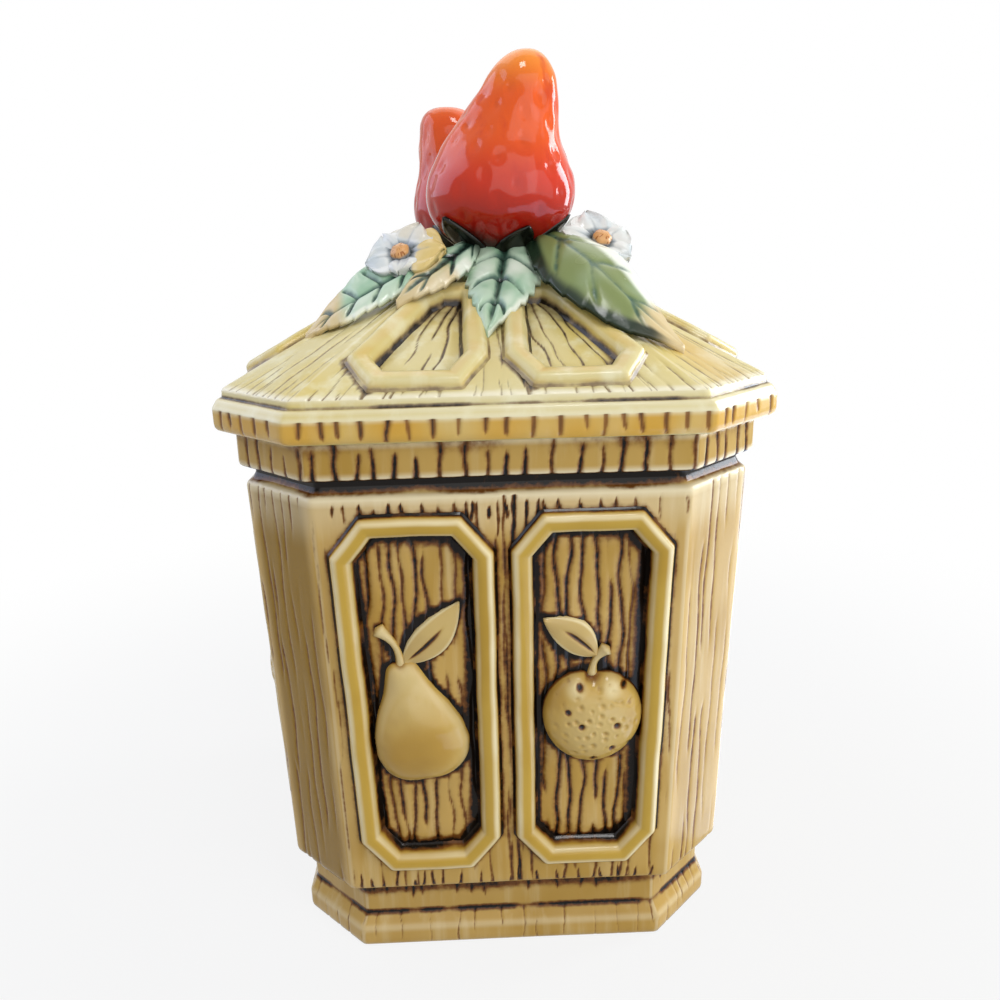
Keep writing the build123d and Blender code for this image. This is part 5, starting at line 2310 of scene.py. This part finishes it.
@dataclass
class Blossoms:
    """Two five-petal blossoms that lean on the berries among the leaves."""

    rng: Generator
    petal_width: float = 0.62
    thickness: float = 1.7
    root: float = 9.0
    root_radius: float = 4.6
    petal_rows: int = 30
    petal_columns: int = 25
    button_spokes: int = 40

    blossoms = (
        Blossom(
            "left",
            (-25.6, -25.4, 206.2),
            (-0.27, -0.6, 0.75),
            (
                Petal(8.0, 14.0, 1.0), Petal(78.0, 12.0, 0.4), Petal(140.0, 11.5),
                Petal(208.0, 11.0, 0.1), Petal(285.0, 9.0, 0.3),
            ),
        ),
        Blossom(
            "right",
            (32.2, -23.4, 208.6),
            (0.22, -0.6, 0.77),
            (
                Petal(22.0, 10.5), Petal(95.0, 12.0), Petal(158.0, 12.5), Petal(232.0, 11.5),
                Petal(305.0, 10.5),
            ),
        ),
    )

    # Half width of a petal from its foot to its end, as shares of its greatest one
    petal_knots = (0.16, 0.5, 0.84, 1.0, 0.96, 0.66, 0.1)

    # Radii of the stub and the button as shares of the stub's, and levels over the petals' feet
    button_radii = (0.9, 1.0, 1.0, 0.62, 0.62, 0.6, 0.52, 0.38, 0.2)
    button_levels = (-2.0, -0.4, 0.2, 1.6, 2.5, 3.1, 3.5, 3.75)
    button_tip = 3.85

    def petal(self, petal: Petal, level: float) -> Form:
        """Rounded petal that runs out from the button.

        Args:
            petal: Which petal.
            level: Its level over the foot of the button.

        Returns:
            The petal.
        """
        along = np.linspace(0.0, 1.0, self.petal_rows)[:, None]
        wide = np.sin(np.linspace(-math.pi / 2.0, math.pi / 2.0, self.petal_columns))[None, :]
        inner = np.abs(wide)
        across = wide * petal.length * self.petal_width * curve(self.petal_knots, along)
        notch = 1.0 - 0.07 * bell(wide / 0.25) * soft_step(0.7, 1.0, along)
        reach = petal.length * along * notch * (1.0 - 0.06 * inner**2)
        ruffle = 0.75 * Wobble(self.rng, 0.9).at(wide) * along
        vein = bell(wide / 0.1) * soft_step(0.95, 0.5, along)
        height = level + 1.9 * np.sin(0.8 * math.pi * along) + 0.9 * (1.0 - inner**2) * along + ruffle
        turn = math.radians(petal.turn)
        x = reach * math.cos(turn) - across * math.sin(turn)
        y = reach * math.sin(turn) + across * math.cos(turn)
        top = points_of(x, y, height - 0.3 * vein)
        # Painted shade: grey over the inner part of each petal, in the folds by the button
        stain = over(0.8 * soft_step(0.46, 0.22, along), 0.35 * vein) + 0.18 * bell((1.0 - inner) / 0.12)
        marks = {"stain": np.clip(stain, 0.0, 1.0), "tip": petal.cream * soft_step(0.2, 0.5, along)}
        return slab(top, top - self.thickness * UPWARD, marks)

    def button(self) -> Form:
        """Freckled button on a stub that is set into what carries the blossom.

        Returns:
            The button.
        """
        radii = np.array(self.button_radii)[:, None] * self.root_radius
        levels = np.array([-self.root, *self.button_levels])[:, None]
        turns = even_turns(self.button_spokes)[None, :]
        shown = soft_step(0.8, 1.8, levels) + 0.0 * turns
        bead = radii * (1.0 + 0.06 * shown * np.sin(6.0 * turns + 1.3 * levels))
        freckle = shown * (self.rng.uniform(0.0, 1.0, shown.shape) > 0.8)
        marks = {"button": shown, "freckle": freckle, "stain": 0.9 * bell(levels - 0.9)}
        points = points_of(bead * np.cos(turns), bead * np.sin(turns), levels)
        return dome(points, self.button_tip * UPWARD, marks, {"button": 1.0})

    def build(self) -> None:
        """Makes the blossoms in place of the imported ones."""
        for blossom in self.blossoms:
            out = unit(np.array(blossom.facing))
            right = unit(np.cross(UPWARD, out))
            place = Face(np.array(blossom.middle), right, np.cross(out, right), out)
            whole = self.button()
            for number, petal in enumerate(blossom.petals):
                whole = whole.joined(self.petal(petal, 0.25 * (number % 2)))
            name, node = f"petals_{blossom.name}", f"blossom_{blossom.name}"
            make_piece(whole.placed(place), name, BLOSSOM_GLAZE, Body.LID, node)


@dataclass(frozen=True)
class Lamp:
    """Soft rectangular studio lamp, in metres and watts."""

    name: str
    place: tuple[float, float, float]
    aim: tuple[float, float, float]
    size: tuple[float, float]
    power: float
    tint: str = "#FFFFFF"


@dataclass
class Studio:
    """Pale floor, white surround, soft lamps and the camera."""

    eye: tuple[float, float, float] = (-6.9, -296.5, 210.9)
    yaw: float = 1.67
    pitch: float = 16.25
    roll: float = -1.38
    sensor: float = 36.0
    focal: float = 900.0
    image: float = 1000.0
    clip_start: float = 0.01
    clip_end: float = 50.0
    floor_size: float = 8.0
    floor_near: float = 0.12
    floor_far: float = 0.42
    floor_white: float = 0.86
    world_light: float = 0.22

    # The table lamp lies on the floor, so that the right facets mirror a bright table as in the photo
    lamps = (
        Lamp("window_right", (0.82, 0.25, 0.33), (0.0, 0.0, 0.18), (0.28, 0.58), 6.0, "#F0F6FF"),
        Lamp("fill_right", (0.78, -0.48, 0.4), (0.0, 0.0, 0.14), (0.6, 0.6), 1.4, "#F2F6FF"),
        Lamp("table_right", (0.31, 0.0, 0.004), (0.3, 0.0, 1.0), (0.7, 0.44), 1.95, "#C6DCFF"),
        Lamp("top_soft", (0.04, 0.42, 0.92), (0.0, 0.0, 0.16), (0.9, 0.7), 1.8),
        Lamp("top_small", (0.12, -0.35, 1.05), (0.0, 0.0, 0.14), (0.2, 0.2), 2.0),
        Lamp("front_soft", (0.7, -1.7, 0.8), (0.0, 0.0, 0.12), (2.8, 2.2), 28.0),
        Lamp("sheen_left", (-0.84, 0.14, 0.62), (0.0, 0.0, 0.2), (0.95, 0.85), 6.0, "#D4DEFF"),
    )

    def floor(self) -> None:
        """Makes the pale floor, which keeps the shadow and shows white further off."""
        mesh = bpy.data.meshes.new("floor")
        half = self.floor_size / 2.0
        corners = [(-half, -half, 0.0), (half, -half, 0.0), (half, half, 0.0), (-half, half, 0.0)]
        mesh.from_pydata(corners, [], [(0, 1, 2, 3)])
        plane = bpy.data.objects.new("floor", mesh)
        bpy.context.scene.collection.objects.link(plane)
        material = bpy.data.materials.new("paper_matt_pale")
        material.use_nodes = True
        tree = material.node_tree
        tree.nodes.clear()
        paper = add_node(tree, "ShaderNodeBsdfDiffuse", {"Color": srgb("#B4B4B2")})
        white = add_node(tree, "ShaderNodeEmission", {"Color": srgb("#FFFFFF"), "Strength": 1.0})
        place = add_node(tree, "ShaderNodeTexCoord", {}, "Object")
        away = add_node(tree, "ShaderNodeVectorMath", {0: place}, "Value", operation="LENGTH")
        span = {"Value": away, "From Min": self.floor_near, "From Max": self.floor_far}
        span["To Min"] = self.floor_white
        share = add_node(tree, "ShaderNodeMapRange", span, interpolation_type="SMOOTHSTEP")
        seen = {0: share, 1: self.seen_directly(tree)}
        share = add_node(tree, "ShaderNodeMath", seen, operation="MULTIPLY")
        mixed = add_node(tree, "ShaderNodeMixShader", {0: share, 1: paper, 2: white})
        add_node(tree, "ShaderNodeOutputMaterial", {"Surface": mixed})
        mesh.materials.append(material)
        plane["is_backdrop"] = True

    @staticmethod
    def seen_directly(tree: bpy.types.NodeTree) -> bpy.types.NodeSocket:
        """Tells which rays see a surface directly or mirrored.

        Args:
            tree: Node tree to add to.

        Returns:
            1 for rays from the camera and for mirrored or refracted ones, else 0.
        """
        kinds = ("Is Camera Ray", "Is Glossy Ray", "Is Transmission Ray")
        camera, glossy, refracted = (add_node(tree, "ShaderNodeLightPath", {}, kind) for kind in kinds)
        shiny = add_node(tree, "ShaderNodeMath", {0: glossy, 1: refracted}, operation="MAXIMUM")
        return add_node(tree, "ShaderNodeMath", {0: camera, 1: shiny}, operation="MAXIMUM")

    def surround(self) -> None:
        """Makes the white surround: white where it is seen, and softer as a light."""
        world = bpy.data.worlds.new("white_surround")
        world.use_nodes = True
        tree = world.node_tree
        tree.nodes.clear()
        white = srgb("#FFFFFF")
        light = add_node(tree, "ShaderNodeBackground", {"Color": white, "Strength": self.world_light})
        shown = add_node(tree, "ShaderNodeBackground", {"Color": white, "Strength": 1.0})
        mixed = add_node(tree, "ShaderNodeMixShader", {0: self.seen_directly(tree), 1: light, 2: shown})
        add_node(tree, "ShaderNodeOutputWorld", {"Surface": mixed})
        bpy.context.scene.world = world

    def light(self) -> None:
        """Hangs the lamps, which the camera doesn't see."""
        for lamp in self.lamps:
            data = bpy.data.lights.new(lamp.name, "AREA")
            data.shape = "RECTANGLE"
            data.size, data.size_y = lamp.size
            data.energy = lamp.power
            data.color = srgb(lamp.tint)[:3]
            holder = bpy.data.objects.new(lamp.name, data)
            holder.visible_camera = False
            back = unit(np.array(lamp.place) - np.array(lamp.aim))
            right = unit(np.cross(UPWARD, back))
            holder.matrix_world = self.matrix(right, np.cross(back, right), back, np.array(lamp.place))
            bpy.context.scene.collection.objects.link(holder)

    @staticmethod
    def matrix(right: Array, up: Array, back: Array, place: Array) -> Matrix:
        """Object matrix from its axes and place."""
        columns = np.stack([right, up, back, place], axis=-1)
        return Matrix([*columns.tolist(), [0.0, 0.0, 0.0, 1.0]])

    def camera(self) -> None:
        """Sets the camera where the photograph was taken from."""
        yaw, pitch, roll = (math.radians(angle) for angle in (self.yaw, self.pitch, self.roll))
        level_ahead = np.array([math.sin(yaw), math.cos(yaw), 0.0])
        level_right = np.array([math.cos(yaw), -math.sin(yaw), 0.0])
        ahead = math.cos(pitch) * level_ahead - math.sin(pitch) * UPWARD
        steep = math.sin(pitch) * level_ahead + math.cos(pitch) * UPWARD
        right = math.cos(roll) * level_right + math.sin(roll) * steep
        up = math.cos(roll) * steep - math.sin(roll) * level_right
        data = bpy.data.cameras.new("camera")
        data.sensor_fit = "HORIZONTAL"
        data.sensor_width = self.sensor
        data.lens = self.sensor * self.focal / self.image
        data.clip_start, data.clip_end = self.clip_start, self.clip_end
        camera = bpy.data.objects.new("camera", data)
        camera.matrix_world = self.matrix(right, up, -ahead, np.array(self.eye) * MM)
        bpy.context.scene.collection.objects.link(camera)
        bpy.context.scene.camera = camera

    def build(self) -> None:
        """Makes the whole studio."""
        self.floor()
        self.surround()
        self.light()
        self.camera()
        bpy.context.scene.view_settings.view_transform = "Standard"


def write_sizes() -> None:
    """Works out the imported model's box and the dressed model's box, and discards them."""
    boxes = {"cad": cad_bounds, "visual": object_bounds()}
    {name: [list(corner) for corner in box] for name, box in boxes.items()}


def main() -> None:
    """Builds the canister from the ground up, then the studio."""
    logging.basicConfig(level=logging.INFO, format="%(name)s: %(message)s")
    rng = {name: np.random.default_rng(seed) for name, seed in SEEDS.items()}
    tub = Tub(rng["tub"])
    sprigs = FruitSprigs(rng["sprigs"], tub)
    tub.build(sprigs.outlines())
    DoorFrames(rng["doors"], tub).build()
    sprigs.build()
    lid = Lid(rng["lid"])
    lid.build()
    RoofFrames(rng["roof"], lid).build()
    Berries(rng["berries"], lid).build()
    Foliage(rng["foliage"], lid).build()
    Blossoms(rng["blossoms"]).build()
    Studio().build()
    write_sizes()


if __name__ == "__main__":
    main()
